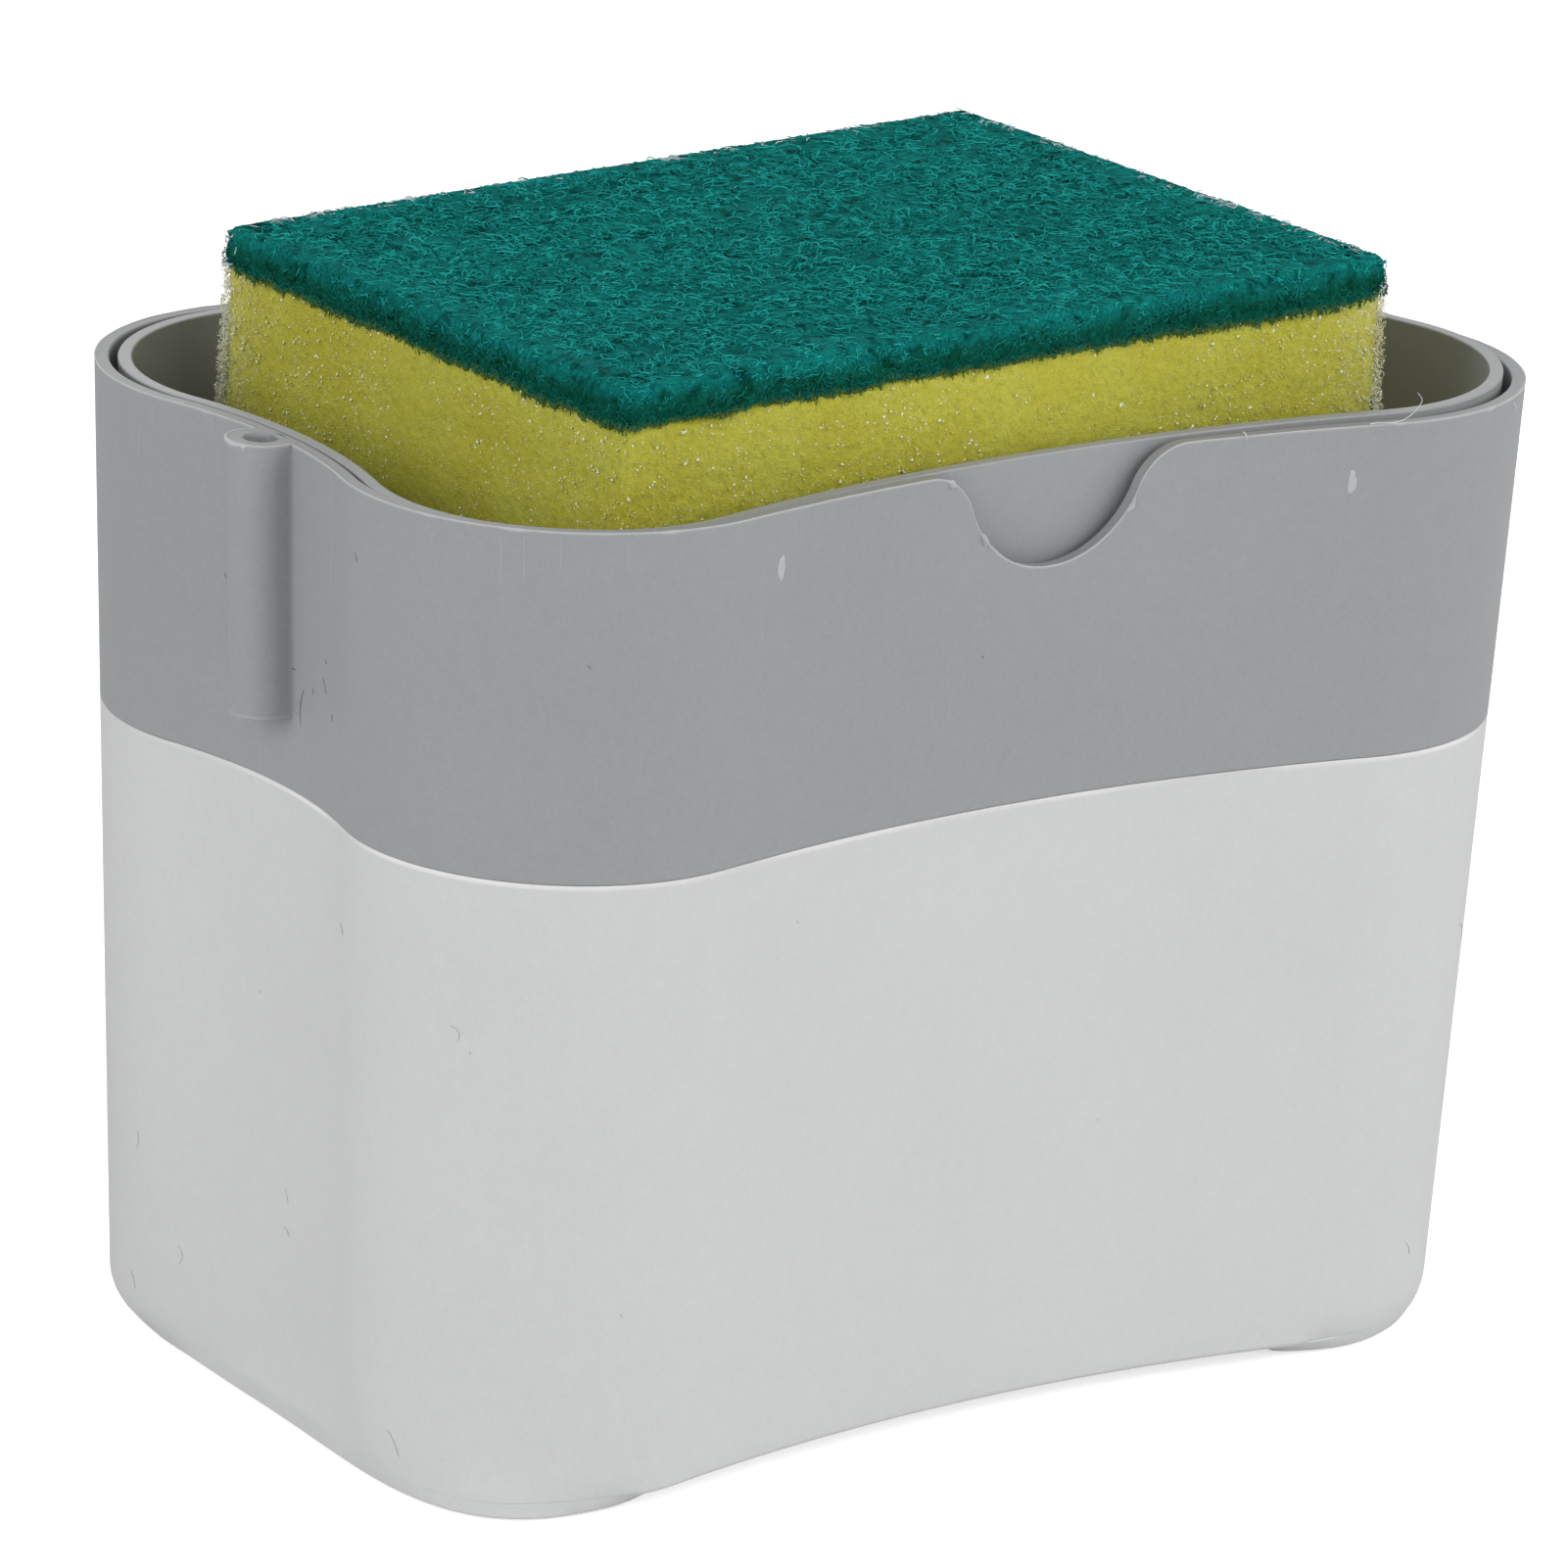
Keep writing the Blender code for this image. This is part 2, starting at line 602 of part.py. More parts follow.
def pump_stem(parts, material):
    """The hollow stem: a collar that drives the piston, and a cup at its top for the outlet ball."""
    collar_low = barrel_step + FIT
    cup = OUTLET_BALL_RADIUS + OUTLET_SIDE_GAP
    neck_low = outlet_seat - OUTLET_CONE_HEIGHT
    return turned("pump_stem", [
        (STEM_RADIUS, stem_top),
        (STEM_RADIUS, collar_low + STEM_COLLAR_HEIGHT),
        (STEM_COLLAR_RADIUS, collar_low + STEM_COLLAR_HEIGHT),
        (STEM_COLLAR_RADIUS, collar_low),
        (STEM_RADIUS, collar_low),
        (STEM_RADIUS, piston_bottom),
        (STEM_BORE, piston_bottom),
        (STEM_BORE, neck_low),
        (OUTLET_SEAT_RADIUS, neck_low),
        (OUTLET_SEAT_RADIUS, outlet_seat),
        (cup, outlet_seat + OUTLET_CONE_HEIGHT),
        (cup, stem_top)], parts, material)


def pump_piston(parts, material):
    """The soft piston: a sleeve on the stem with a sealing lip at each end."""
    lip_radius = BARREL_BORE - FIT
    return turned("pump_piston", [
        (lip_radius, barrel_step),
        (lip_radius, barrel_step - PISTON_LIP),
        (lip_radius - PISTON_WAIST, barrel_step - PISTON_LIP - PISTON_WAIST),
        (lip_radius - PISTON_WAIST, piston_bottom + PISTON_LIP + PISTON_WAIST),
        (lip_radius, piston_bottom + PISTON_LIP),
        (lip_radius, piston_bottom),
        (stem_seat, piston_bottom),
        (stem_seat, barrel_step)], parts, material)


def stem_plug(parts, material):
    """The hollow plug pressed into the stem's foot, whose disc the spring pushes on."""
    shank = STEM_BORE - FIT
    return turned("stem_plug", [
        (shank, poppet_top + POPPET_SHANK),
        (shank, poppet_top),
        (POPPET_RADIUS, poppet_top),
        (POPPET_RADIUS, poppet_bottom),
        (POPPET_BORE, poppet_bottom),
        (POPPET_BORE, poppet_top + POPPET_SHANK)], parts, material)


def spring_path():
    """Points of the spring's helix: close turns at both ends, open turns between, and a straight stretch of
    one wire diameter at each end."""
    turns = np.linspace(0.0, SPRING_TURNS, SPRING_TURNS * SPRING_POINTS + 1)
    height = spring_top - spring_bottom - 2.0 * SPRING_WIRE_RADIUS
    open_turns = SPRING_TURNS - 2 * SPRING_END_TURNS
    open_pitch = (height - 2 * SPRING_END_TURNS * SPRING_END_PITCH) / open_turns
    lower = np.minimum(turns, SPRING_END_TURNS) * SPRING_END_PITCH
    middle = np.clip(turns - SPRING_END_TURNS, 0.0, open_turns) * open_pitch
    upper = np.maximum(turns - SPRING_END_TURNS - open_turns, 0.0) * SPRING_END_PITCH
    angles = 2.0 * math.pi * turns
    coil = np.column_stack((SPRING_MEAN_RADIUS * np.cos(angles), SPRING_MEAN_RADIUS * np.sin(angles),
                            spring_bottom + SPRING_WIRE_RADIUS + lower + middle + upper))
    tail = np.array((0.0, -2.0 * SPRING_WIRE_RADIUS, 0.0))
    return np.concatenate(((coil[0] + tail,), coil, (coil[-1] - tail,)))


def least_gap(points, wire_radius, apart):
    """Smallest distance between the surfaces of two stretches that lie apart along the wire."""
    gaps = np.linalg.norm(points[:, None] - points[None], axis=2)
    steps = np.abs(np.subtract.outer(np.arange(len(points)), np.arange(len(points))))
    return gaps[steps >= apart].min() - 2.0 * wire_radius


def return_spring(parts, material):
    """The steel spring that lifts the plunger."""
    points = spring_path()
    curve = bpy.data.curves.new("return_spring", "CURVE")
    curve.dimensions = "3D"
    curve.bevel_depth = SPRING_WIRE_RADIUS
    curve.bevel_resolution = 1
    curve.use_fill_caps = True
    spline = curve.splines.new("POLY")
    spline.points.add(len(points) - 1)
    for target, point in zip(spline.points, points):
        target.co = (*point, 1.0)
    fine = np.concatenate([np.linspace(a, b, 5)[:-1] for a, b in zip(points, points[1:])])
    gap = least_gap(fine, SPRING_WIRE_RADIUS, SPRING_POINTS * 2)
    print(f"least gap of the spring to itself: {gap * 1000.0:.2f} mm")
    return add_object("return_spring", curve, parts, material)


def outlet_nozzle(parts, material):
    """The outlet: a flange in the tray's pocket and a tube that sits over the stem and runs in the guide."""
    tube_end = guide_top - NOZZLE_REACH
    return turned("outlet_nozzle", [
        (NOZZLE_FLANGE_RADIUS, rib_top),
        (NOZZLE_FLANGE_RADIUS, rib_top - NOZZLE_FLANGE),
        (NOZZLE_RADIUS, rib_top - NOZZLE_FLANGE),
        (NOZZLE_RADIUS, tube_end),
        (stem_seat, tube_end),
        (stem_seat, rib_top)], parts, material)


def outlet_cap(parts, tools, material):
    """The cap with small holes that closes the nozzle over the outlet ball."""
    thing = turned("outlet_cap", [
        (0.0, rib_top),
        (STEM_RADIUS, rib_top),
        (STEM_RADIUS, outlet_cap_under),
        (0.0, outlet_cap_under)], parts, material)
    for i in range(OUTLET_HOLES):
        angle = 2.0 * math.pi * i / OUTLET_HOLES
        drill = turned(f"outlet_hole_{i + 1}", [
            (0.0, rib_top + CUT_OVERRUN),
            (OUTLET_HOLE_RADIUS, rib_top + CUT_OVERRUN),
            (OUTLET_HOLE_RADIUS, outlet_cap_under - CUT_OVERRUN),
            (0.0, outlet_cap_under - CUT_OVERRUN)], tools, steps=SMALL_HOLE_STEPS)
        drill.location = (OUTLET_HOLE_PITCH * math.cos(angle), OUTLET_HOLE_PITCH * math.sin(angle), 0.0)
        combine(thing, drill, "DIFFERENCE")
    return thing


def joint_empty(name, z, parent, collection):
    """An empty on the pump's axis that carries what moves together."""
    empty = bpy.data.objects.new(name, None)
    collection.objects.link(empty)
    empty.empty_display_size = STEM_RADIUS
    empty.location = (0.0, 0.0, z)
    hang(empty, parent)
    return empty


def hang(thing, parent):
    """Parents a piece without moving it."""
    if parent:
        bpy.context.view_layer.update()
        thing.parent = parent
        thing.matrix_parent_inverse = parent.matrix_world.inverted()


def main():
    for thing in list(bpy.data.objects):
        bpy.data.objects.remove(thing, do_unlink=True)
    parts = bpy.data.collections.new("dish_soap_dispenser")
    tools = bpy.data.collections.new("cutters")
    for collection in (parts, tools):
        bpy.context.scene.collection.children.link(collection)

    pale_plastic = finish("pale_plastic", (0.60, 0.61, 0.62), 0.42)
    grey_plastic = finish("grey_plastic", (0.33, 0.335, 0.34), 0.45)
    tray_plastic = finish("tray_plastic", (0.33, 0.335, 0.34), 0.42)
    pump_plastic = finish("pump_plastic", (0.80, 0.80, 0.79), 0.35)
    clear_plastic = finish("clear_plastic", (0.72, 0.74, 0.74), 0.25)
    soft_seal = finish("soft_seal", (0.70, 0.70, 0.68), 0.60)
    spring_steel = finish("spring_steel", (0.56, 0.57, 0.58), 0.28, 1.0)
    ball_steel = finish("ball_steel", (0.62, 0.62, 0.63), 0.15, 1.0)
    foam = finish("foam", (0.38, 0.36, 0.05), 0.95)
    scouring_fibre = finish("scouring_fibre", (0.008, 0.14, 0.125), 0.90)

    collar_lift = joint_empty("collar_lift", SEAM_HEIGHT, None, parts)
    plunger_press = joint_empty("plunger_press", barrel_step, collar_lift, parts)
    tray_lift = joint_empty("tray_lift", hub_bottom, plunger_press, parts)
    sponge_lift = joint_empty("sponge_lift", rib_top, tray_lift, parts)

    tub(parts, tools, pale_plastic)
    dip_top = spigot_top - FIT
    on_collar = [
        collar(parts, tools, grey_plastic),
        ring("pump_gasket", neck_bore, neck_radius, gasket_under, gasket_top, parts, soft_seal),
        pump_housing(parts, pump_plastic),
        retaining_cap(parts, pump_plastic),
        stem_guide(parts, pump_plastic),
        ring("ball_cage", CAGE_BORE, BARREL_BORE - FIT, cage_bottom, cage_top, parts, pump_plastic),
        ball("inlet_ball", INLET_BALL_RADIUS, inlet_ball_z, parts, ball_steel),
        ring("dip_tube", DIP_TUBE_RADIUS - DIP_TUBE_WALL, DIP_TUBE_RADIUS,
             tub_floor + DIP_TUBE_ROOM, dip_top, parts, clear_plastic),
        return_spring(parts, spring_steel),
    ]
    on_plunger = [
        pump_stem(parts, pump_plastic),
        pump_piston(parts, soft_seal),
        stem_plug(parts, pump_plastic),
        ball("outlet_ball", OUTLET_BALL_RADIUS, outlet_ball_z, parts, ball_steel),
    ]
    washer_low = pocket_floor + FIT
    on_tray = [
        sponge_tray(parts, tools, tray_plastic),
        outlet_nozzle(parts, tray_plastic),
        ring("nozzle_washer", hub_bore, NOZZLE_FLANGE_RADIUS, washer_low, washer_low + WASHER_THICKNESS,
             parts, soft_seal),
        outlet_cap(parts, tools, tray_plastic),
    ]
    on_sponge = sponge(parts, foam, scouring_fibre)
    for carrier, pieces in ((collar_lift, on_collar), (plunger_press, on_plunger),
                            (tray_lift, on_tray), (sponge_lift, on_sponge)):
        for piece in pieces:
            hang(piece, carrier)


main()
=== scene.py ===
"""The looks of the sponge-topped soap dispenser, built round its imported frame. Lengths in the shape
functions are in millimetres; meshes are in metres."""

import math

import bpy
import numpy as np
from mathutils import Matrix, Vector


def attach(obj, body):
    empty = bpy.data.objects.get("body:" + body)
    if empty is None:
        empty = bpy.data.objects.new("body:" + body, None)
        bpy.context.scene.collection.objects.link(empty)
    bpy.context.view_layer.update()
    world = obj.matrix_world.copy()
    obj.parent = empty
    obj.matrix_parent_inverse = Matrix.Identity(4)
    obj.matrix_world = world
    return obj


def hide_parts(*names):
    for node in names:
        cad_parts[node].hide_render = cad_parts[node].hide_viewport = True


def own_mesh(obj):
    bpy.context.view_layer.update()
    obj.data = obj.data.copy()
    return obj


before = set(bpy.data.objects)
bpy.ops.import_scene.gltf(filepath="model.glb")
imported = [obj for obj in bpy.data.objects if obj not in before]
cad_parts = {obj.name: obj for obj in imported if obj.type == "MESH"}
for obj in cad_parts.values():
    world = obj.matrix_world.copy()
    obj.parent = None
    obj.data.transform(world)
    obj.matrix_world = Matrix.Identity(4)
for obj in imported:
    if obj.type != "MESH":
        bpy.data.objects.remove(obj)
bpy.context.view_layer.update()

MM = 0.001
FULL_TURN = 2.0 * math.pi

# Outline of the walls at ground level, and heights
CORNER_X, CORNER_Y, CORNER_RADIUS = 45.44, 22.47, 19.81
WAIST_X, WAIST_Y = 62.10, 37.40
LEAN = 0.0394
SEAM = 67.5
RIM = 103.6
TRAY_RIM = 104.1
TRAY_BASE, TRAY_FLOOR = 83.7, 85.3
RIB_TOP = 86.5
END_STEPS, CORNER_STEPS, FAR_STEPS, NEAR_STEPS = 22, 46, 30, 84
NEAR_SHARE = 0.48

# Tub and feet: the lower edge and its rounding, where the wall begins to flare and to draw in, and how far
# from the middle a foot's inner end lies at its two corners
UNDERSIDE, EDGE_ROUNDING, ROUNDED_TOP = 1.63, 0.65, 2.3
FLARE_TOP, FLARE_DEPTH = 9.5, 7.5
DRAW_TOP, MOST_DRAWN = 5.0, 2.8
FOOT_ENDS = (45.4, 38.4)

# Collar: the finger notch, the height above which rows sink with it, the plug's lower edge and the deck
NOTCH_DEPTH, NOTCH_RADIUS, SHOULDER_RADIUS = 11.2, 11.5, 6.3
NOTCH_LOW = 80.0
PLUG_LOW, DECK = 51.7, 53.5

# The tray's rock on its pump: rise along and across, and sink
ROCK_X, ROCK_Y, ROCK_SINK = 0.0125, 0.011, 0.1

# Sponge
SPONGE_LOW = (-51.0, -35.5)
SPONGE_HIGH = (49.0, 35.5)
HALF_LENGTH, HALF_WIDTH, MIDDLE_X = 50.0, 35.5, -1.0
SPONGE_ROUND = 342.0
FOAM_LOW, FOAM_HIGH = 86.8, 111.2
PAD_LOW, PAD_HIGH = 111.2, 116.8
MAT_TOP = PAD_HIGH - 0.2

# The sponge as it sits: real half length and width, turn and place, the foam's sloping top and the pad on it
REAL_LENGTH, REAL_WIDTH = 48.4, 35.45
SPONGE_TURN = math.radians(1.62)
SPONGE_X, SPONGE_Y = -1.54, 0.56
FOAM_TOP, FOAM_TOP_X, FOAM_TOP_Y = 112.46, 0.0254, 0.0073
PAD_SHARE, PAD_THICKNESS = 0.2295, 4.37

# The pad's green where it has rubbed off on the foam, and the light that comes from all round
STAIN = (0.13, 0.19, 0.012)
SKY = 0.26


# Noise


def scatter(cubes, seed):
    """Random numbers from 0 to 1, one for each whole-numbered cube: the cube's three indices and the seed
    are multiplied by large odd numbers, added and mixed bit by bit."""
    i, j, k = (cubes[..., axis].astype(np.int64).astype(np.uint32) for axis in range(3))
    mixed = i * np.uint32(374761393) + j * np.uint32(668265263) + k * np.uint32(2246822519)
    mixed = mixed + np.uint32(seed * 3266489 + 101)
    mixed = (mixed ^ (mixed >> np.uint32(13))) * np.uint32(1274126177)
    mixed = (mixed ^ (mixed >> np.uint32(15))) * np.uint32(2246822519)
    return (mixed ^ (mixed >> np.uint32(16))) / 4294967296.0


def cloud(points, size, seed):
    """Smooth noise from -1 to 1: random values at the corners of cubes of the given size, blended across
    each cube with the weight t * t * (3 - 2 * t) along each axis."""
    scaled = np.asarray(points, float) / size
    low = np.floor(scaled)
    t = scaled - low
    t = t * t * (3.0 - 2.0 * t)
    total = np.zeros(scaled.shape[:-1])
    for corner in np.ndindex(2, 2, 2):
        step = np.array(corner)
        weight = np.prod(np.where(step == 1, t, 1.0 - t), axis=-1)
        total += weight * scatter(low + step, seed)
    return total * 2.0 - 1.0


def cells(points, size, seed):
    """Distance to the nearest of one random point per cube of the given size, in shares of that size."""
    scaled = np.asarray(points, float) / size
    low = np.floor(scaled)
    nearest = np.full(scaled.shape[:-1], 9.0)
    for corner in np.ndindex(3, 3, 3):
        cube = low + np.array(corner) - 1.0
        spot = cube + np.stack([scatter(cube, seed + axis) for axis in range(3)], axis=-1)
        nearest = np.minimum(nearest, np.linalg.norm(spot - scaled, axis=-1))
    return nearest


def as_line(values, lane):
    """Points along X for noise that changes along a line."""
    values = np.asarray(values, float)
    return np.stack((values, np.full_like(values, lane), np.zeros_like(values)), axis=-1)


# Small sums


def clamped(values):
    """Values held between 0 and 1."""
    return np.clip(values, 0.0, 1.0)


def unit(vectors):
    """Vectors scaled to length 1."""
    return vectors / np.linalg.norm(vectors, axis=-1, keepdims=True)


def level_row(flat, z):
    """Points on a plan at one height or at a height each."""
    return np.column_stack((flat, np.broadcast_to(z, (len(flat),))))


def steps_round(loop):
    """Distances along a closed loop from its first point, up to the whole length."""
    lengths = np.linalg.norm(np.roll(loop, -1, axis=0) - loop, axis=1)
    return np.concatenate(((0.0,), np.cumsum(lengths)))


def ring_of(count):
    """Angles evenly round a full turn."""
    return np.linspace(0.0, FULL_TURN, count + 1)[:-1]


# Meshes


def build(name, points, quads, triangles=(), uv=None, marks=None, sharp=40.0):
    """A mesh object at the origin from points in millimetres, quads and triangles."""
    quads = np.asarray(quads, np.int64).reshape(-1, 4)
    triangles = np.asarray(triangles, np.int64).reshape(-1, 3)
    mesh = bpy.data.meshes.new(name)
    mesh.vertices.add(len(points))
    mesh.vertices.foreach_set("co", (np.asarray(points) * MM).astype(np.float32).ravel())
    corners = np.concatenate((quads.ravel(), triangles.ravel())).astype(np.int32)
    mesh.loops.add(len(corners))
    mesh.loops.foreach_set("vertex_index", corners)
    starts = np.concatenate((np.arange(len(quads)) * 4, 4 * len(quads) + np.arange(len(triangles)) * 3))
    mesh.polygons.add(len(starts))
    mesh.polygons.foreach_set("loop_start", starts.astype(np.int32))
    mesh.update(calc_edges=True)
    if uv is not None:
        layer = mesh.uv_layers.new(name="wall")
        layer.data.foreach_set("uv", np.asarray(uv, np.float32).ravel())
    for mark, values in (marks or {}).items():
        attribute = mesh.attributes.new(mark, "FLOAT", "POINT")
        attribute.data.foreach_set("value", np.asarray(values, np.float32).ravel())
    mesh.shade_smooth()
    mesh.set_sharp_from_angle(angle=math.radians(sharp))
    thing = bpy.data.objects.new(name, mesh)
    bpy.context.scene.collection.objects.link(thing)
    return thing


def skin(name, rows, around=None, ring=False, marks=None, sharp=40.0):
    """A closed surface through rows of points that run anticlockwise seen from above, listed down the
    outside, inwards underneath and up the inside. The last row joins the first, or each end closes on its
    middle point. The map is the distance around and the height, both in decimetres."""
    rows = np.asarray(rows, float)
    count, columns = rows.shape[:2]
    around = np.linspace(0.0, 100.0, columns + 1) if around is None else around
    index = np.arange(count * columns).reshape(count, columns)
    upper, lower = (index, np.roll(index, -1, axis=0)) if ring else (index[:-1], index[1:])
    next_lower, next_upper = np.roll(lower, -1, axis=1), np.roll(upper, -1, axis=1)
    quads = np.stack((upper, lower, next_lower, next_upper), axis=-1).reshape(-1, 4)
    points = rows.reshape(-1, 3)
    left, right = (np.broadcast_to(edge, upper.shape) for edge in (around[:-1], around[1:]))
    across = np.stack((left, left, right, right), axis=-1).reshape(-1)
    uv = np.stack((across, points[quads.ravel(), 2]), axis=-1)
    triangles = np.empty((0, 3), int)
    if not ring:
        top, bottom = (np.full(columns, len(points) + place) for place in (0, 1))
        points = np.concatenate((points, (rows[0].mean(axis=0), rows[-1].mean(axis=0))))
        fan_top = np.stack((top, index[0], np.roll(index[0], -1)), axis=-1)
        fan_bottom = np.stack((index[-1], bottom, np.roll(index[-1], -1)), axis=-1)
        triangles = np.concatenate((fan_top, fan_bottom))
        fan_uv = np.stack((np.zeros(triangles.size), points[triangles.ravel(), 2]), axis=-1)
        uv = np.concatenate((uv, fan_uv))
        marks = {mark: np.append(np.asarray(values).ravel(), (0.0, 0.0))
                 for mark, values in (marks or {}).items()}
    return build(name, points, quads, triangles, uv * 0.01, marks, sharp)


def eased(corners, radii, steps=4, longest=7.0):
    """A profile whose corners are rounded: each corner becomes an arc that touches both its sides, with one
    more point just beyond each end of the arc, and long straight stretches are divided."""
    corners = np.asarray(corners, float)
    radii = np.broadcast_to(np.asarray(radii, float), (len(corners) - 2,))
    points = [corners[0]]
    for before, corner, after, radius in zip(corners, corners[1:], corners[2:], radii):
        back, ahead = before - corner, after - corner
        reach = 0.45 * min(np.linalg.norm(back), np.linalg.norm(ahead))
        back, ahead = back / np.linalg.norm(back), ahead / np.linalg.norm(ahead)
        half = 0.5 * math.acos(float(np.clip(back @ ahead, -1.0, 1.0)))
        cut = min(radius / math.tan(half), reach)
        radius = cut * math.tan(half)
        centre = corner + (back + ahead) / np.linalg.norm(back + ahead) * radius / math.sin(half)
        start, end = corner + back * cut, corner + ahead * cut
        t = np.linspace(0.0, 1.0, steps + 1)[:, None]
        swing = math.pi - 2.0 * half
        arc = np.sin((1.0 - t) * swing) * (start - centre) + np.sin(t * swing) * (end - centre)
        arc = arc / math.sin(swing)
        points += [start + back * cut * 0.4, *(centre + arc), end + ahead * cut * 0.4]
    points.append(corners[-1])
    points = np.array(points)
    pieces = [np.linspace(a, b, max(1, math.ceil(np.linalg.norm(b - a) / longest)) + 1)[:-1]
              for a, b in zip(points, points[1:])]
    return np.concatenate(pieces + [points[-1:]])


def eased_loop(corners, radii, steps=4, longest=7.0):
    """A closed profile with rounded corners, starting in the middle of its first side."""
    corners = np.asarray(corners, float)
    middle = (corners[0] + corners[1]) / 2.0
    radii = np.roll(np.broadcast_to(np.asarray(radii, float), (len(corners),)), -1)
    return eased(np.concatenate(((middle,), corners[1:], corners[:1], (middle,))), radii, steps, longest)[:-1]


def box_loop(low, high, radii, steps, longest):
    """A rectangle with rounded corners."""
    (x0, y0), (x1, y1) = low, high
    return eased_loop([(x0, y0), (x1, y0), (x1, y1), (x0, y1)], radii, steps, longest)


def loop_normals(points):
    """Outward directions of a closed anticlockwise loop: the chord between a point's neighbours, turned."""
    chord = unit(np.roll(points, -1, axis=0) - np.roll(points, 1, axis=0))
    return np.stack((chord[:, 1], -chord[:, 0]), axis=-1)


def inset_rows(loop, profile):
    """Rows of a loop, moved in by a profile's insets at its heights."""
    facing = loop_normals(loop)
    return [level_row(loop - inset * facing, z) for inset, z in profile]


def drawn_in(row, shares, middle=None):
    """Copies of a row drawn in towards its middle, or a given one, by shares."""
    middle = row[:, :2].mean(axis=0) if middle is None else middle
    return [level_row(middle + (row[:, :2] - middle) * share, row[:, 2]) for share in shares]


def join(name, things):
    """Several meshes of quads and triangles made into one piece."""
    points, quads, triangles, offset = [], [], [], 0
    for thing in things:
        mesh = thing.data
        co = np.empty(len(mesh.vertices) * 3, np.float32)
        mesh.vertices.foreach_get("co", co)
        points.append(co.reshape(-1, 3) / MM)
        sizes = np.empty(len(mesh.polygons), np.int32)
        mesh.polygons.foreach_get("loop_total", sizes)
        corners = np.empty(len(mesh.loops), np.int32)
        mesh.loops.foreach_get("vertex_index", corners)
        owner = np.repeat(sizes, sizes)
        quads.append(corners[owner == 4].reshape(-1, 4) + offset)
        triangles.append(corners[owner == 3].reshape(-1, 3) + offset)
        offset += len(mesh.vertices)
        bpy.data.objects.remove(thing)
    return build(name, np.concatenate(points), np.concatenate(quads), np.concatenate(triangles))


def turned(name, corners, ease, segments=96, ripple=0.0, ripples=0):
    """A profile of radius and height, listed down its outer side, turned about the pump's axis, its corners
    eased. Where ripples are asked for, the outermost radius sinks by the ripple's depth between them."""
    turn = ring_of(segments)
    profile = eased_loop(corners, ease, steps=3, longest=9.0)
    wave = ripple * (0.5 - 0.5 * np.cos(turn * ripples)) ** 3
    outer = clamped((profile[:, 0] - profile[:, 0].max() + 0.4) / 0.3)
    radius = profile[:, :1] - outer[:, None] * wave
    height = np.broadcast_to(profile[:, 1:], radius.shape)
    return skin(name, np.stack((radius * np.cos(turn), radius * np.sin(turn), height), axis=-1), ring=True)


def tube(name, paths, radii, sides, marks=None):
    """Closed tubes along many paths at once. Across each path point lies a regular ring of points, in the
    plane of the direction across the path and up, and the direction at right angles to both the path and
    it."""
    paths = np.asarray(paths, float)
    count, length = paths.shape[:2]
    along = unit(np.gradient(paths, axis=1))
    across = np.cross(along, (0.0, 0.0, 1.0))
    weak = np.linalg.norm(across, axis=2, keepdims=True) < 1e-3
    across = unit(np.where(weak, np.cross(along, (0.31, 0.93, 0.2)), across))
    over = np.cross(across, along)
    ring = ring_of(sides)
    offset = across[:, :, None] * np.cos(ring)[:, None] + over[:, :, None] * np.sin(ring)[:, None]
    points = paths[:, :, None] + offset * np.asarray(radii)[:, :, None, None]
    index = np.arange(count * length * sides).reshape(count, length, sides)
    a, b = index[:, :-1], index[:, 1:]
    quads = np.stack((a, np.roll(a, -1, axis=2), np.roll(b, -1, axis=2), b), axis=-1).reshape(-1, 4)
    inner = np.arange(1, sides - 1)
    caps = []
    for end, (second, third) in ((index[:, 0], (inner + 1, inner)), (index[:, -1], (inner, inner + 1))):
        cap = np.stack([np.repeat(end[:, :1], sides - 2, 1), end[:, second], end[:, third]], -1)
        caps.append(cap.reshape(-1, 3))
    spread = {mark: np.repeat(np.broadcast_to(values, (count, length)).ravel(), sides)
              for mark, values in (marks or {}).items()}
    return build(name, points.reshape(-1, 3), quads, np.concatenate(caps), marks=spread, sharp=180.0)


def coil(name, low, high, mean_radius, wire_radius, turns, pitch_ends):
    """A spring: a helix with close turns at both ends, its wire a circle across the path at each point."""
    t = np.linspace(0.0, turns, turns * 40 + 1)
    height = high - low - 2.0 * wire_radius
    pitch = (height - 2.0 * pitch_ends) / (turns - 2)
    z = np.minimum(t, 1.0) * pitch_ends + np.clip(t - 1.0, 0.0, turns - 2) * pitch
    z = z + np.maximum(t - turns + 1.0, 0.0) * pitch_ends + low + wire_radius
    path = np.stack((mean_radius * np.cos(FULL_TURN * t), mean_radius * np.sin(FULL_TURN * t), z), axis=-1)
    return tube(name, path[None], np.full((1, len(path)), wire_radius), 10)


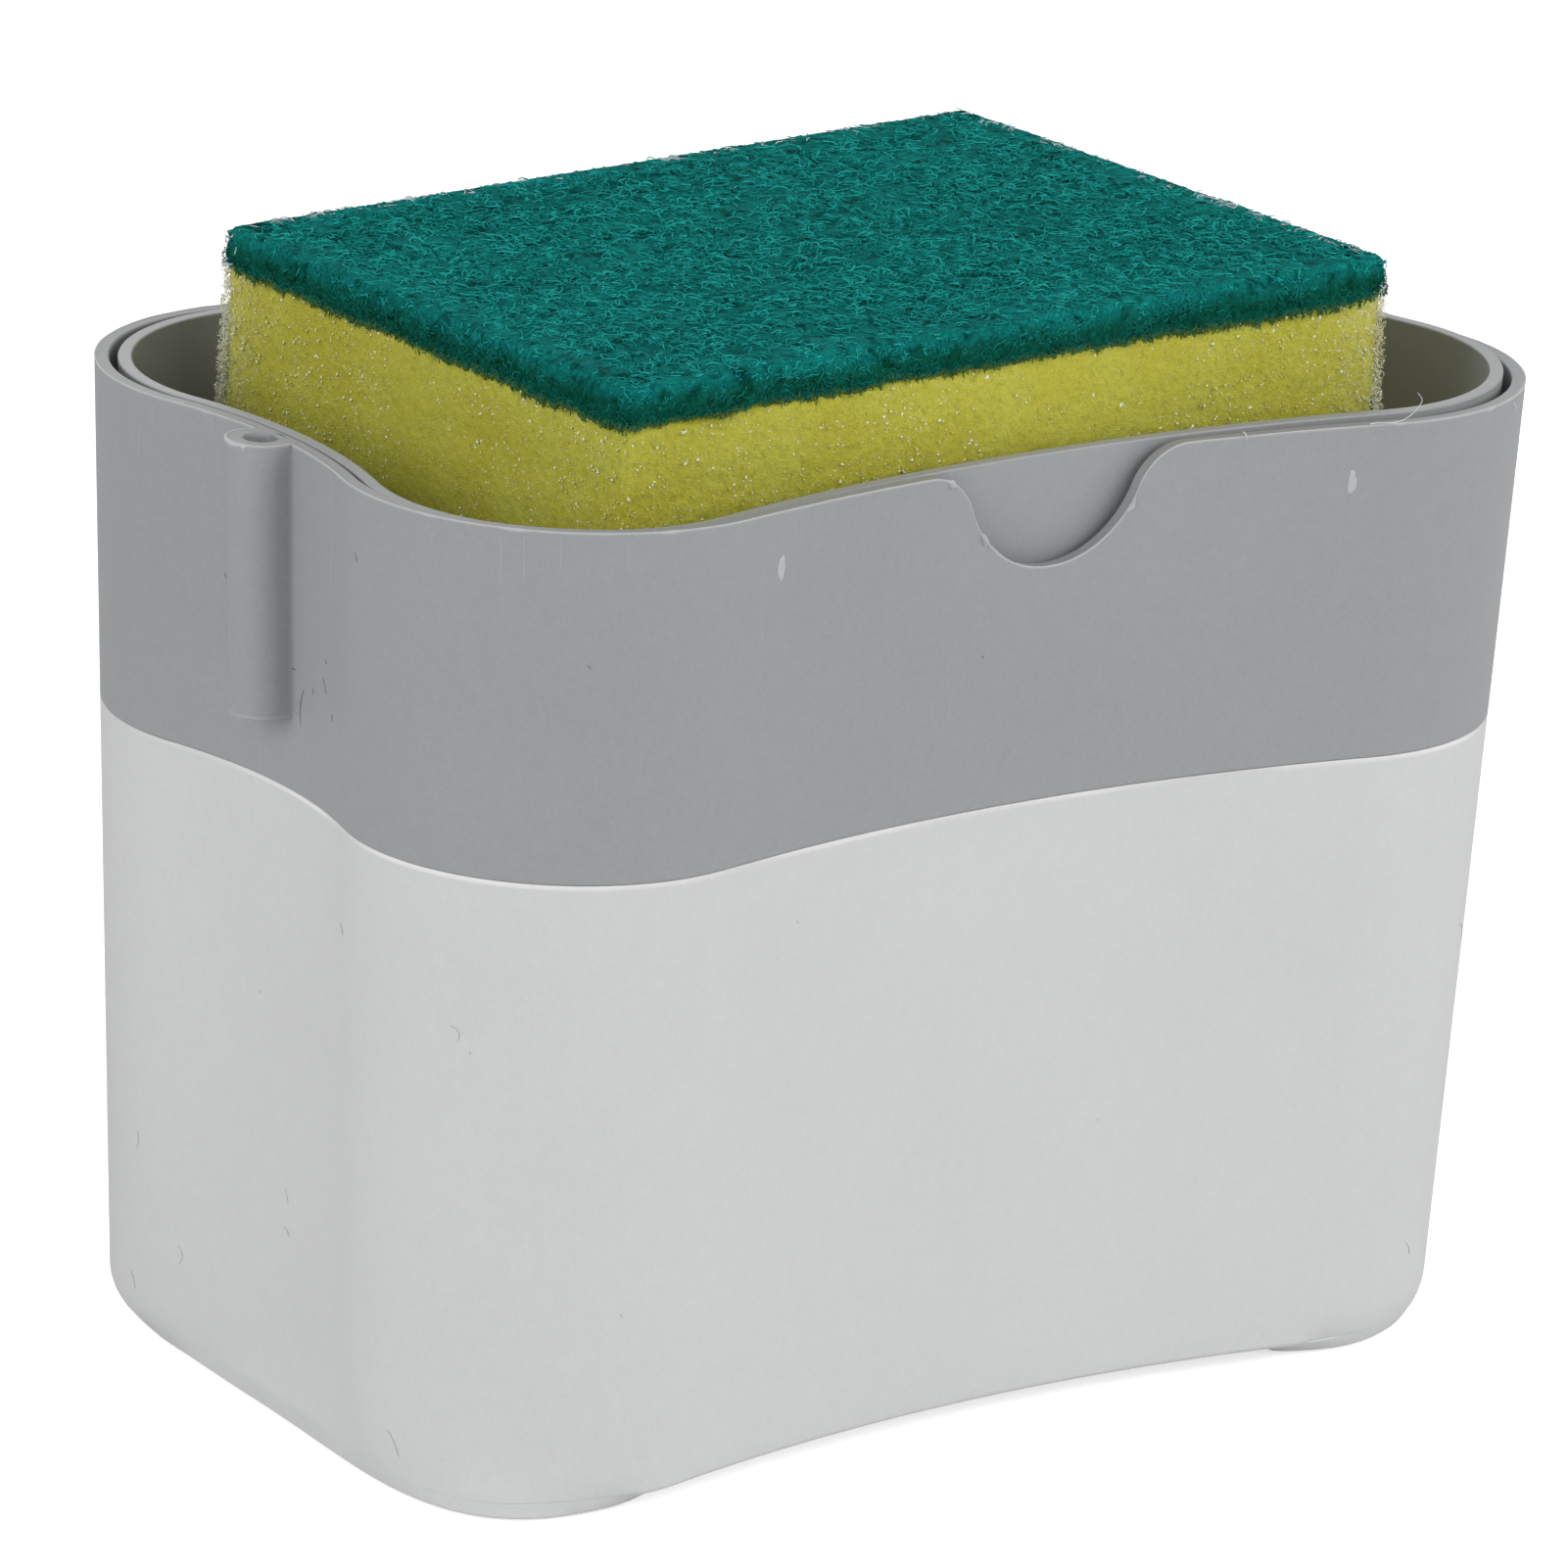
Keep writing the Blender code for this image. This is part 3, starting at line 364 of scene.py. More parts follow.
def strands(rng, spots, right, ahead, out, lengths, bends, wobble, lift, segments, heading=None):
    """Paths of short bent strands. The heading turns evenly by the bend along a strand, with a wobble, in
    the plane of two directions; the height over that plane is a half sine of the given lift."""
    count = len(spots)
    t = np.linspace(0.0, 1.0, segments + 1)
    heading = rng.uniform(0.0, FULL_TURN, count) if heading is None else heading
    heading = heading[:, None] + bends[:, None] * (t - 0.5)
    wobble = np.broadcast_to(wobble, (count,))[:, None]
    sway = np.sin(t * rng.uniform(3.0, 9.0, (count, 1)) + rng.uniform(0.0, FULL_TURN, (count, 1)))
    heading = heading + wobble * sway
    step = lengths[:, None] / segments
    a = np.cumsum(np.cos(heading) * step, axis=1)
    b = np.cumsum(np.sin(heading) * step, axis=1)
    a, b = a - a.mean(axis=1, keepdims=True), b - b.mean(axis=1, keepdims=True)
    h = lift[:, None] * np.sin(t * math.pi) - 0.08
    flat = spots[:, None] + a[..., None] * right[:, None] + b[..., None] * ahead[:, None]
    return flat + h[..., None] * out[:, None]


# Walls


def half_side(middle, corner_out, corner_along, parts):
    """Half a side of the outline: one arc from its middle to the corner arc that it runs into. Its
    curvature is twice the pull-in of its middle divided by the squared reach to the corner arc's centre
    less the squared corner radius."""
    pull_in = corner_out + CORNER_RADIUS - middle
    curvature = 2.0 * pull_in / ((middle - corner_out) ** 2 + corner_along ** 2 - CORNER_RADIUS ** 2)
    chord = corner_along / (1.0 + curvature * CORNER_RADIUS)
    angle = math.asin(curvature * chord)
    turn = parts * angle
    length = parts * angle / curvature
    out = middle + length * np.sinc(turn / FULL_TURN) * np.sin(turn / 2.0)
    return length * np.sinc(turn / math.pi), out, turn


def outline():
    """The waisted outline at ground level and its outward directions, anticlockwise from the middle of the
    right-hand end: in each quarter a short side, a corner arc and a long side run into each other."""
    end_parts = np.linspace(0.0, 1.0, END_STEPS + 1)
    near = np.linspace(0.0, NEAR_SHARE, NEAR_STEPS + 1)
    side_parts = np.concatenate((near, np.linspace(NEAR_SHARE, 1.0, FAR_STEPS + 1)[1:]))
    end_along, end_out, end_turn = half_side(WAIST_X, CORNER_X, CORNER_Y, end_parts)
    side_along, side_out, side_turn = half_side(WAIST_Y, CORNER_Y, CORNER_X, side_parts)
    swing = np.linspace(-end_turn[-1], math.pi / 2.0 + side_turn[-1], CORNER_STEPS + 1)[1:-1]
    x = np.concatenate((end_out, CORNER_X + CORNER_RADIUS * np.cos(swing), side_along[::-1]))
    y = np.concatenate((end_along, CORNER_Y + CORNER_RADIUS * np.sin(swing), side_out[::-1]))
    facing = np.concatenate((-end_turn, swing, math.pi / 2.0 + side_turn[::-1]))
    quarter = np.stack((x, y, np.cos(facing), np.sin(facing)), axis=-1)
    left = (quarter * (-1.0, 1.0, -1.0, 1.0))[::-1]
    whole = np.concatenate((quarter, left[1:], -quarter[1:], -left[1:-1]))
    return whole[:, :2], whole[:, 2:]


BASE, FACING = outline()
AROUND = steps_round(BASE)
COLUMNS = len(BASE)
RAY = unit(BASE)


def wall_row(inset, z):
    """The outline at a height, moved in from the leaning outer wall along its own outward directions."""
    out = np.broadcast_to(LEAN * z - inset, (COLUMNS,))
    return level_row(BASE + out[:, None] * FACING, z)


def round_row(radius, z):
    """A circle whose points lie on the same rays from the middle as the outline's."""
    return level_row(RAY * radius, z)


def between(first, last, count=4):
    """Rows part of the way from one row to another, without the two themselves."""
    return [first + (last - first) * share for share in np.linspace(0.0, 1.0, count + 2)[1:-1]]


def wall_spot(around, z, lift=0.0):
    """Points on the outer wall at distances around it from the middle of the right-hand end."""
    around = np.mod(np.asarray(around, float), AROUND[-1])
    x, y, nx, ny = (np.interp(around, AROUND, np.append(line, line[0])) for line in (*BASE.T, *FACING.T))
    out = LEAN * np.asarray(z, float) + lift
    return np.stack((x + nx * out, y + ny * out, np.broadcast_to(z, x.shape) * 1.0), axis=-1)


def notch_drop():
    """How far the finger notch lowers the rim at each column: a round bottom that runs into a round
    shoulder on each side, on the front wall only."""
    x = np.abs(BASE[:, 0])
    bottom_z, shoulder_z = RIM - NOTCH_DEPTH + NOTCH_RADIUS, RIM - SHOULDER_RADIUS
    both = NOTCH_RADIUS + SHOULDER_RADIUS
    reach = math.sqrt(both ** 2 - (bottom_z - shoulder_z) ** 2)
    meet = reach * NOTCH_RADIUS / both
    bottom = bottom_z - np.sqrt(np.maximum(NOTCH_RADIUS ** 2 - x ** 2, 0.0))
    shoulder = shoulder_z + np.sqrt(np.maximum(SHOULDER_RADIUS ** 2 - (x - reach) ** 2, 0.0))
    edge = np.where(x < meet, bottom, np.where(x < reach, shoulder, RIM))
    return np.where(BASE[:, 1] < 0.0, RIM - edge, 0.0)


def flash_edge(around, seed):
    """The thin moulding flash along an edge: the strength of its low ripple, and of the flakes that stand
    out from it here and there."""
    along = as_line(around, 0.5)
    ripple = np.clip(0.5 + 0.45 * cloud(along, 2.3, seed) + 0.3 * cloud(along, 0.7, seed + 1), 0.1, 1.0)
    flakes = clamped((cloud(along, 2.6, seed + 2) - 0.55) / 0.35) ** 1.5
    return ripple, flakes


def flash_rows(ripple, flakes, keep):
    """The rim's outer edge as insets, heights and marks: a fine ridge that follows the ripple up and out,
    with flakes that reach further out and down."""
    flat = np.zeros_like(ripple)
    up, out = keep * (0.06 * ripple + 0.14 * flakes), keep * (0.05 * ripple + 0.30 * flakes)
    down = 0.07 + keep * 0.35 * flakes
    return ((flat + 0.18, flat, 0.0 * keep), (flat + 0.11, 0.01 + 0.5 * up, 0.7 * keep),
            (0.03 - 0.4 * out, up, keep), (-out, 0.4 * up - 0.02, keep), (-out, -0.6 * down, keep),
            (-0.1 * out, -down - 0.05, 0.5 * keep), (flat, -down - 0.22, 0.0 * keep))


FOOT_OUTLINE = (
    (63.3, -14.0), (63.6, -7.0), (63.8, 0.0), (64.1, 7.0), (64.5, 14.0), (64.7, 20.0), (64.5, 25.0),
    (63.9, 29.0), (62.7, 32.8), (60.9, 35.7), (58.4, 37.9), (55.2, 39.4), (52.4, 39.9), (49.8, 40.1),
    (47.6, 40.0), (46.2, 39.6), (45.4, 38.6), (44.8, 30.0), (43.4, 15.0), (42.0, 0.0), (40.6, -15.0),
    (39.1, -30.0), (38.4, -36.6), (38.9, -38.0), (41.2, -39.2), (44.9, -40.2), (48.2, -40.2), (51.6, -39.3),
    (55.0, -37.7), (58.2, -35.3), (60.4, -31.8), (61.4, -29.2), (62.1, -26.2), (62.6, -23.2), (63.0, -20.0),
)


def foot_loop(parts=4):
    """The foot's outline: a smooth curve through its stops, each stretch a cubic that leaves and enters a
    stop along the line between that stop's neighbours."""
    stops = np.array(FOOT_OUTLINE)
    a, b, c, d = (np.roll(stops, -step, axis=0)[:, None] for step in (-1, 0, 1, 2))
    t = (np.arange(parts) / parts)[None, :, None]
    slope, bend, twist = c - a, 2.0 * a - 5.0 * b + 4.0 * c - d, 3.0 * b - a - 3.0 * c + d
    return 0.5 * (2.0 * b + slope * t + bend * t ** 2 + twist * t ** 3).reshape(-1, 2)


def foot_inset():
    """How far inside the wall's outline at ground level the feet's outlines lie at each column, along the
    wall's outward direction, and whether a foot lies under the column."""
    near = foot_loop(24)
    away = np.concatenate((near, -near))[None] - BASE[:, None]
    ahead = (away * FACING[:, None]).sum(axis=-1)
    aside = np.abs(away[..., 0] * FACING[:, None, 1] - away[..., 1] * FACING[:, None, 0])
    aside = aside + 9.0 * (np.abs(ahead) > 4.0)
    nearest = aside.argmin(axis=1)
    columns = np.arange(COLUMNS)
    covered = aside[columns, nearest] < 1.2
    return np.where(covered, -ahead[columns, nearest], 0.0), covered


def draw_share(z):
    """How much of its inset at the ground a drawn-in wall and foot have at a height: the square of the depth
    below the height where it begins, over that height."""
    return clamped((DRAW_TOP - z) / DRAW_TOP) ** 2


def tub_profile():
    """The tub's wall as insets and heights: floor, inner wall, rim, outer wall and underside, with closer
    rows below the rim and near the ground. Also the place in it where the outer wall begins."""
    profile = eased([(9.0, 3.63), (1.8, 3.63), (1.8, SEAM - 0.05), (0.0, SEAM - 0.05), (0.0, UNDERSIDE),
                     (8.0, UNDERSIDE)], [3.0, 0.2, 0.15, EDGE_ROUNDING], steps=6)
    below = np.flatnonzero((profile[:, 0] < 0.01) & (profile[:, 1] < SEAM - 1.0))[0]
    profile = np.insert(profile, below, [(0.0, SEAM - 0.4), (0.0, SEAM - 0.65)], axis=0)
    low = [(0.0, z) for z in (9.5, 8.4, 7.4, 6.5, 5.7, 5.0, 4.4, 3.9, 3.4, 3.0, 2.7, 2.4)]
    outer_wall = (np.arange(len(profile)) > below) & (profile[:, 0] < 0.001)
    profile = profile[~(outer_wall & (profile[:, 1] < FLARE_TOP + 0.1) & (profile[:, 1] > ROUNDED_TOP))]
    turn_in = np.flatnonzero((profile[:, 0] < 0.01) & (profile[:, 1] < ROUNDED_TOP))[0]
    return np.concatenate((profile[:turn_in], low, profile[turn_in:])), below


def tub_shell():
    """The tub: inner floor, inner wall, rim, outer wall and underside as rows of the outline; the floors
    are the same outline drawn in towards the middle. Near the ground the wall leans out or in to meet the
    feet's outlines, by the square of the depth below a height, and its lower edge is rounded less where
    it meets them."""
    profile, below = tub_profile()
    inset_foot, covered = foot_inset()
    foot_end = np.where(BASE[:, 0] * BASE[:, 1] > 0.0, *FOOT_ENDS)
    held = covered * clamped((np.abs(BASE[:, 0]) - foot_end) / 4.0)
    lean_out = np.clip(0.03 - inset_foot, 0.0, None) * covered
    lean_in = np.clip(inset_foot - 0.03, 0.0, MOST_DRAWN) * held
    sideways = clamped((np.abs(FACING[:, 1]) - 0.6) / 0.35)
    rounding = EDGE_ROUNDING * (1.0 - held) + (0.06 + 0.36 * sideways) * held
    wall = []
    for place, (inset, z) in enumerate(profile):
        outer = (place > below) * (z < ROUNDED_TOP) * clamped((5.0 - inset) / 2.0)
        kept = 1.0 + (rounding / EDGE_ROUNDING - 1.0) * outer
        row = wall_row(inset * kept, UNDERSIDE + (z - UNDERSIDE) * kept)
        depth = (place > below) * clamped((7.0 - inset) / 5.0)
        out_share = clamped((FLARE_TOP - row[:, 2]) / FLARE_DEPTH) ** 2 * depth
        in_share = draw_share(row[:, 2]) * depth
        row[:, :2] += FACING * (lean_out * out_share - lean_in * in_share)[:, None]
        wall.append(row)
    shares = (0.12, 0.3, 0.5, 0.7, 0.86)
    inside = [wall[0] * (share, share, 1.0) for share in shares]
    outside = [wall[-1] * (share, share, 1.0) for share in shares[::-1]]
    rows = np.array(inside + wall + outside)
    # Pale flash along the rim's outer edge, in places, partly a painted highlight.
    edge = np.zeros(rows.shape[:2])
    outer = np.arange(len(rows)) > len(inside) + np.argmax(profile[:, 1] > SEAM - 0.1) + 4
    edge[outer & (rows[:, 0, 2] > SEAM - 0.5)] = 1.0
    edge *= clamped(0.35 + 0.9 * cloud(as_line(AROUND[:-1], 2.5), 9.0, 31))
    return skin("tub_shell", rows, AROUND, marks={"flash_and_highlight": edge})


def tub_foot(name, side):
    """A flat foot under an end of the tub: a plate from the ground to the base, its edges eased, one of its
    outer corners full and the other drawn in. Where it is drawn in, its sides slope out to the wall, and its
    inner end slopes up to the base."""
    loop = foot_loop()
    facing = loop_normals(loop)
    nearest = np.linalg.norm(loop[:, None] - BASE[None], axis=-1).argmin(axis=1)
    drawn = ((BASE[nearest] - loop) * FACING[nearest]).sum(axis=1)
    drawn = np.clip(drawn, 0.0, MOST_DRAWN) * clamped(((FACING[nearest] * facing).sum(axis=1) - 0.4) / 0.4)
    middle = np.array((53.0, 0.0))
    profile = eased([(5.0, 1.95), (0.0, 1.95), (0.0, 0.0), (5.0, 0.0)], [0.3, 0.3], steps=5, longest=0.5)
    rim = []
    for inset, z in profile:
        out = drawn * (1.0 - draw_share(z)) * max(0.0, 1.0 - inset / 4.0) - inset
        rim.append(level_row(loop + out[:, None] * facing, z))
    rows = np.array(drawn_in(rim[0], (0.3, 0.7), middle) + rim + drawn_in(rim[-1], (0.7, 0.3), middle))
    rows[..., 0] -= clamped((50.0 - rows[..., 0]) / 5.0) * rows[..., 2] * 1.3
    return skin(name, rows if side > 0.0 else rows * (-1.0, -1.0, 1.0))


def collar_shell():
    """The collar in one surface: outer wall, plug, underside, pump neck, deck and inner wall. Rows near the
    rim sink by the notch's depth, and the rim's outer edge carries a thin ridge of flash."""
    around = AROUND[:-1]
    drop = notch_drop()
    ripple, flakes = flash_edge(around, 41)
    given = np.exp(-((around[:, None] - (285.25, 290.2, 308.8)) / 0.35) ** 2).max(axis=1)
    flakes = np.maximum(flakes, 1.7 * given)
    keep = np.where((np.abs(BASE[:, 1]) < 3.7) & (np.abs(BASE[:, 0]) > 60.0), 0.0, 1.0)
    rows, flash_and_highlight = [], []

    def add(inset, z, mark=0.0):
        lowered = z - drop * clamped((z - NOTCH_LOW) / (RIM - 0.9 - NOTCH_LOW))
        rows.append(wall_row(inset, lowered))
        flash_and_highlight.append(np.full(COLUMNS, 1.0) * mark)

    for inset, z in eased([(1.5, 98.0), (1.5, RIM), (0.7, RIM)], [0.25]):
        add(inset, z)
    # The flash mark lightens the rim's ridge: pale flash, partly a painted highlight.
    for inset, rise, mark in flash_rows(ripple, flakes, keep):
        add(inset, RIM + rise, mark)
    for z in (RIM - 0.8, RIM - 2.5, 98.0, 94.0, 88.0, 82.0, 78.0, 74.0):
        add(0.0, z)
    plug = [(0.0, 71.0), (0.0, SEAM), (2.1, SEAM), (2.1, 52.7), (3.1, PLUG_LOW), (4.4, PLUG_LOW)]
    for inset, z in eased(plug, [0.12, 0.15, 0.3, 0.3]):
        add(inset, z)
    rows += between(wall_row(4.4, PLUG_LOW), round_row(9.8, PLUG_LOW))
    neck = eased([(10.6, PLUG_LOW), (9.8, PLUG_LOW), (9.8, 61.4), (12.3, 61.4), (12.3, 58.6), (12.8, 58.0),
                  (12.3, 57.4), (12.3, DECK), (14.6, DECK)], [0.2, 0.3, 0.3, 0.2, 0.25, 0.2, 0.6], steps=3)
    rows += [round_row(radius, z) for radius, z in neck]
    rows += between(round_row(14.6, DECK), wall_row(5.0, DECK))
    flash_and_highlight += [np.zeros(COLUMNS)] * (len(rows) - len(flash_and_highlight))
    for inset, z in eased([(5.0, DECK), (3.6, DECK), (3.6, 69.1), (1.5, 71.2), (1.5, 96.0)], [0.6, 0.6, 0.8]):
        add(inset, z)
    return skin("collar_shell", rows, AROUND, ring=True, marks={"flash_and_highlight": flash_and_highlight})


def wire_socket(name, side):
    """A socket on an end wall. Round its axis, which leans with the wall, the distance to its face is its
    radius over the nose and the radius divided by the sine of the angle along the flanks, up to a plane
    inside the wall. The rows run up the bore, across the top, down the outside and across the foot."""
    radius, foot, out = 3.4, 75.1, 1.5
    turn = np.linspace(-math.pi, math.pi, 161)[:-1]
    flank = radius / np.maximum(np.abs(np.sin(turn)), 1e-6)
    plane = 2.25 / np.maximum(np.abs(np.cos(turn)), 1e-6)
    reach = np.where(np.abs(turn) > math.pi / 2.0, np.minimum(flank, plane), radius)
    keep = clamped((2.15 - np.abs(turn)) / 0.25)
    ripple, flakes = flash_edge(turn * radius + 50.0 * side, 47)
    given = np.exp(-((turn - 0.5) / 0.12) ** 2) + 0.8 * np.exp(-((turn + 0.6) / 0.1) ** 2)
    flakes = np.maximum(flakes, given)
    # Light lines down two edges of the socket and along its foot, through the flash mark: partly mould marks,
    # partly painted highlight.
    line = 0.45 * (np.exp(-((turn + 0.66) / 0.03) ** 2) + np.exp(-((np.abs(turn) - 1.93) / 0.035) ** 2))
    top = RIM + 0.03
    rows, marks = [], []

    def add(distance, z, mark=0.0 * turn, bore=False):
        centre = WAIST_X + LEAN * (RIM if bore else z) + out
        flat = np.column_stack((centre + distance * np.cos(turn), distance * np.sin(turn)))
        rows.append(level_row(flat, z))
        marks.append(mark)

    for distance in (0.5, 1.4):
        add(distance, 83.6, bore=True)
    for z in (83.9, 88.0, 94.0, 100.0, 103.2):
        add(1.67, z, bore=True)
    add(1.72, top - 0.12, bore=True)
    for distance in (1.85, 2.4):
        add(distance, top)
    for inset, rise, mark in flash_rows(ripple, flakes, keep):
        add(reach - inset * keep, top + rise * keep, mark)
    for z in np.linspace(RIM - 1.2, foot + 0.6, 10):
        add(reach, z, line)
    for inset, rise in ((0.0, 0.25), (0.05, 0.1), (0.18, 0.02), (0.5, 0.0)):
        add(reach - inset, foot + rise, 0.35 * keep * (inset < 0.3))
    add(reach * 0.5, foot)
    return skin(name, np.array(rows) * (side, side, 1.0), marks={"flash_and_highlight": marks})


def rocked(rows):
    """The tray rocks a little on its pump: away from the hub its heights change with the place along and
    across."""
    rows = np.array(rows)
    x, y = rows[..., 0], rows[..., 1]
    share = clamped((np.hypot(x, y) - 11.0) / 12.0)
    rows[..., 2] += share * (ROCK_X * x + ROCK_Y * y - ROCK_SINK)
    return rows


def tray_shell():
    """The sponge tray: rim, outer wall, underside, pocket and hub, then pocket floor, tray floor and inner
    wall, as rows of the outline and circles."""
    outer = eased([(3.3, TRAY_RIM), (2.4, TRAY_RIM), (2.4, TRAY_BASE), (8.0, TRAY_BASE)], [0.2, 3.0], steps=5)
    hub = eased([(15.0, TRAY_BASE), (12.0, TRAY_BASE), (12.0, 82.5), (8.0, 82.5), (8.0, 79.5), (5.3, 79.5),
                 (5.3, 84.1), (10.4, 84.1), (10.4, TRAY_FLOOR), (13.5, TRAY_FLOOR)],
                [0.3, 0.3, 0.5, 0.3, 0.2, 0.2, 0.3, 0.3], steps=3)
    inner = eased([(9.0, TRAY_FLOOR), (3.85, TRAY_FLOOR), (3.85, TRAY_RIM), (3.3, TRAY_RIM)], [3.0, 0.2],
                  steps=5)
    rows = [wall_row(inset, z) for inset, z in outer]
    rows += between(wall_row(8.0, TRAY_BASE), round_row(15.0, TRAY_BASE))
    rows += [round_row(radius, z) for radius, z in hub]
    rows += between(round_row(13.5, TRAY_FLOOR), wall_row(9.0, TRAY_FLOOR))
    rows += [wall_row(inset, z) for inset, z in inner[:-1]]
    rows = np.array(rows)
    edge = np.zeros(rows.shape[:2])
    # The rim's top a little lighter through the flash mark: painted highlight.
    edge[rows[:, 0, 2] > TRAY_RIM - 0.1] = 0.2
    return skin("tray_shell", rocked(rows), AROUND, ring=True, marks={"flash_and_highlight": edge})


def tray_rib(x):
    """A rib across the tray's floor: a flat bar with rounded corners and eased edges."""
    low, high = (x - 0.8, -25.0), (x + 0.8, 25.0)
    deep = (high[0] - low[0]) * 0.3
    top, foot = RIB_TOP, TRAY_FLOOR - 0.5
    profile = eased([(deep, top), (0.0, top), (0.0, foot), (deep, foot)], 0.25, steps=3)
    return skin("rib", rocked(inset_rows(box_loop(low, high, 0.35, 4, 3.0), profile)))


# Sponge


def settled(points):
    """The sponge as it sits: turned a little and leaning on the rocked tray. Its plan is scaled to its real
    length and width, which grow slightly towards the bottom and shrink over the pad, then turned; its height
    is stretched between the tray's slope and the slope of its own top."""
    points = np.array(points, float)
    shape = points.shape
    points = points.reshape(-1, 3)
    level = (points[:, 2] - FOAM_LOW) / (FOAM_HIGH - FOAM_LOW)
    over = np.maximum(level - 1.0, 0.0)
    spread = 0.6 * (1.0 - clamped(level)) - 2.4 * over
    along = (points[:, 0] - MIDDLE_X) * (REAL_LENGTH + spread) / HALF_LENGTH
    across = points[:, 1] * (REAL_WIDTH + 0.7 * spread) / HALF_WIDTH
    c, s = math.cos(SPONGE_TURN), math.sin(SPONGE_TURN)
    x, y = SPONGE_X + c * along - s * across, SPONGE_Y + s * along + c * across
    floor = FOAM_LOW + ROCK_X * x + ROCK_Y * y - ROCK_SINK
    under = FOAM_TOP + FOAM_TOP_X * x + FOAM_TOP_Y * y
    z = floor + np.minimum(level, 1.0) * (under - floor) + over / PAD_SHARE * PAD_THICKNESS
    return np.stack((x, y, z), axis=-1).reshape(shape)


EDGE_DIPS = (
    (0, -0.05), (8, -0.2), (12, 0.0), (25, 0.0), (28.5, 0.3), (35, 0.22), (42, 0.35), (46, 0.3), (49, -0.4),
    (52, -0.3), (70, 0.1), (100, -0.2), (120, -0.3), (150, 0.1), (190, -0.25), (221, -0.2), (230, -0.1),
    (245, 0.0), (252, -0.2), (256, 0.1), (270, 0.03), (277, 0.1), (285, -0.05), (289, 0.1), (291, -0.1),
    (294, -0.5), (299, -0.5), (304, -0.1), (308, -0.5), (313, -0.4), (319, -0.1), (325, -0.4), (332, -0.15),
    (337, -0.35), (340, 0.1), (342, -0.05),
)


def pad_dip(around, total):
    """How far the scouring pad's lower edge hangs over the foam, round its outline: broad dips between given
    stops, with ragged noise of two sizes."""
    broad = np.interp(around * SPONGE_ROUND / total, *np.array(EDGE_DIPS).T)
    return broad + 0.22 * cloud(as_line(around, 0.5), 1.9, 62) + 0.16 * cloud(as_line(around, 0.5), 0.8, 63)


def block_rows(profile, radius, longest):
    """Rows of the sponge's rounded rectangle, moved in by the profile's insets at its heights, with their
    outward directions and the distances around."""
    loop = box_loop(SPONGE_LOW, SPONGE_HIGH, radius, 6, longest)
    return np.array(inset_rows(loop, profile)), loop_normals(loop), steps_round(loop)


def off_corner(points):
    """How far points are from the block's nearest upright edge: the distances along and across, added."""
    along = np.abs(HALF_LENGTH - np.abs(points[..., 0] - MIDDLE_X))
    return along + np.abs(HALF_WIDTH - np.abs(points[..., 1]))


def foam_block():
    """The foam: a block with soft lower and upright edges whose top runs up into the pad. Its sides are
    pitted by cells of two sizes and pulled in a little between the corners. Marks give the depth of the
    pits, which carry painted shade, the paler corners, partly fine torn cells and partly painted light, and
    the green stain just below the pad."""
    profile = eased([(6.0, FOAM_HIGH + 0.6), (0.3, FOAM_HIGH + 0.6), (0.0, FOAM_HIGH - 0.5), (0.0, FOAM_LOW),
                     (6.0, FOAM_LOW)], [0.15, 0.5, 0.8], steps=4, longest=0.42)
    rows, facing, around = block_rows(profile, (0.9, 2.2, 2.2, 2.2), 0.42)
    share = (rows[..., 2] - FOAM_LOW) / (FOAM_HIGH - FOAM_LOW)
    # Pit depths: the pits are pressed in, and the pit mark also paints shade into them.
    pits = clamped(0.60 - cells(rows, 1.0, 71)) * 0.36 + clamped(0.55 - cells(rows, 0.55, 74)) * 0.36
    off = off_corner(rows[0])
    inner = clamped((off - 1.0) / 8.0)
    sway = 0.22 * cloud(rows, 14.0, 77) * inner + 0.10 * cloud(rows, 2.5, 78)
    sway = sway - 0.3 * inner * np.sin(clamped(share) * math.pi)
    # Paler corners: partly the look of fine torn cells, partly painted light on ends left too dark; the reach
    # is shorter at the front-left corner.
    reach = np.where((rows[0, :, 0] < -20.0) & (rows[0, :, 1] < 0.0), 3.0, 8.0)
    frayed_and_lit_corners = np.exp(-(np.clip(off - 0.8, 0.0, None) / reach) ** 2)
    under = PAD_LOW - pad_dip(around[:-1], around[-1])
    stain = clamped(1.0 - (under - rows[..., 2]) / (0.9 + 0.5 * cloud(rows, 1.3, 75)))
    rows[..., :2] += facing[None] * (sway - pits)[..., None]
    side = (share > 0.02) & (share < 0.98)
    rows[..., 2] += np.where(side, 0.0, 0.12 * cloud(rows, 1.2, 79))
    frayed_and_lit_corners = frayed_and_lit_corners * (0.8 + 0.35 * cloud(rows, 2.6, 76))
    shares = np.linspace(0.06, 0.94, 9)
    ends = ((len(shares), len(shares)), (0, 0))
    marks = {"pit_shade": np.pad(pits, ends), "corner": np.pad(frayed_and_lit_corners, ends), "stained": np.pad(stain, ends)}
    rows = np.array(drawn_in(rows[0], shares) + list(rows) + drawn_in(rows[-1], shares[::-1]))
    return skin("foam_sponge", settled(rows), around, marks=marks, sharp=180.0)


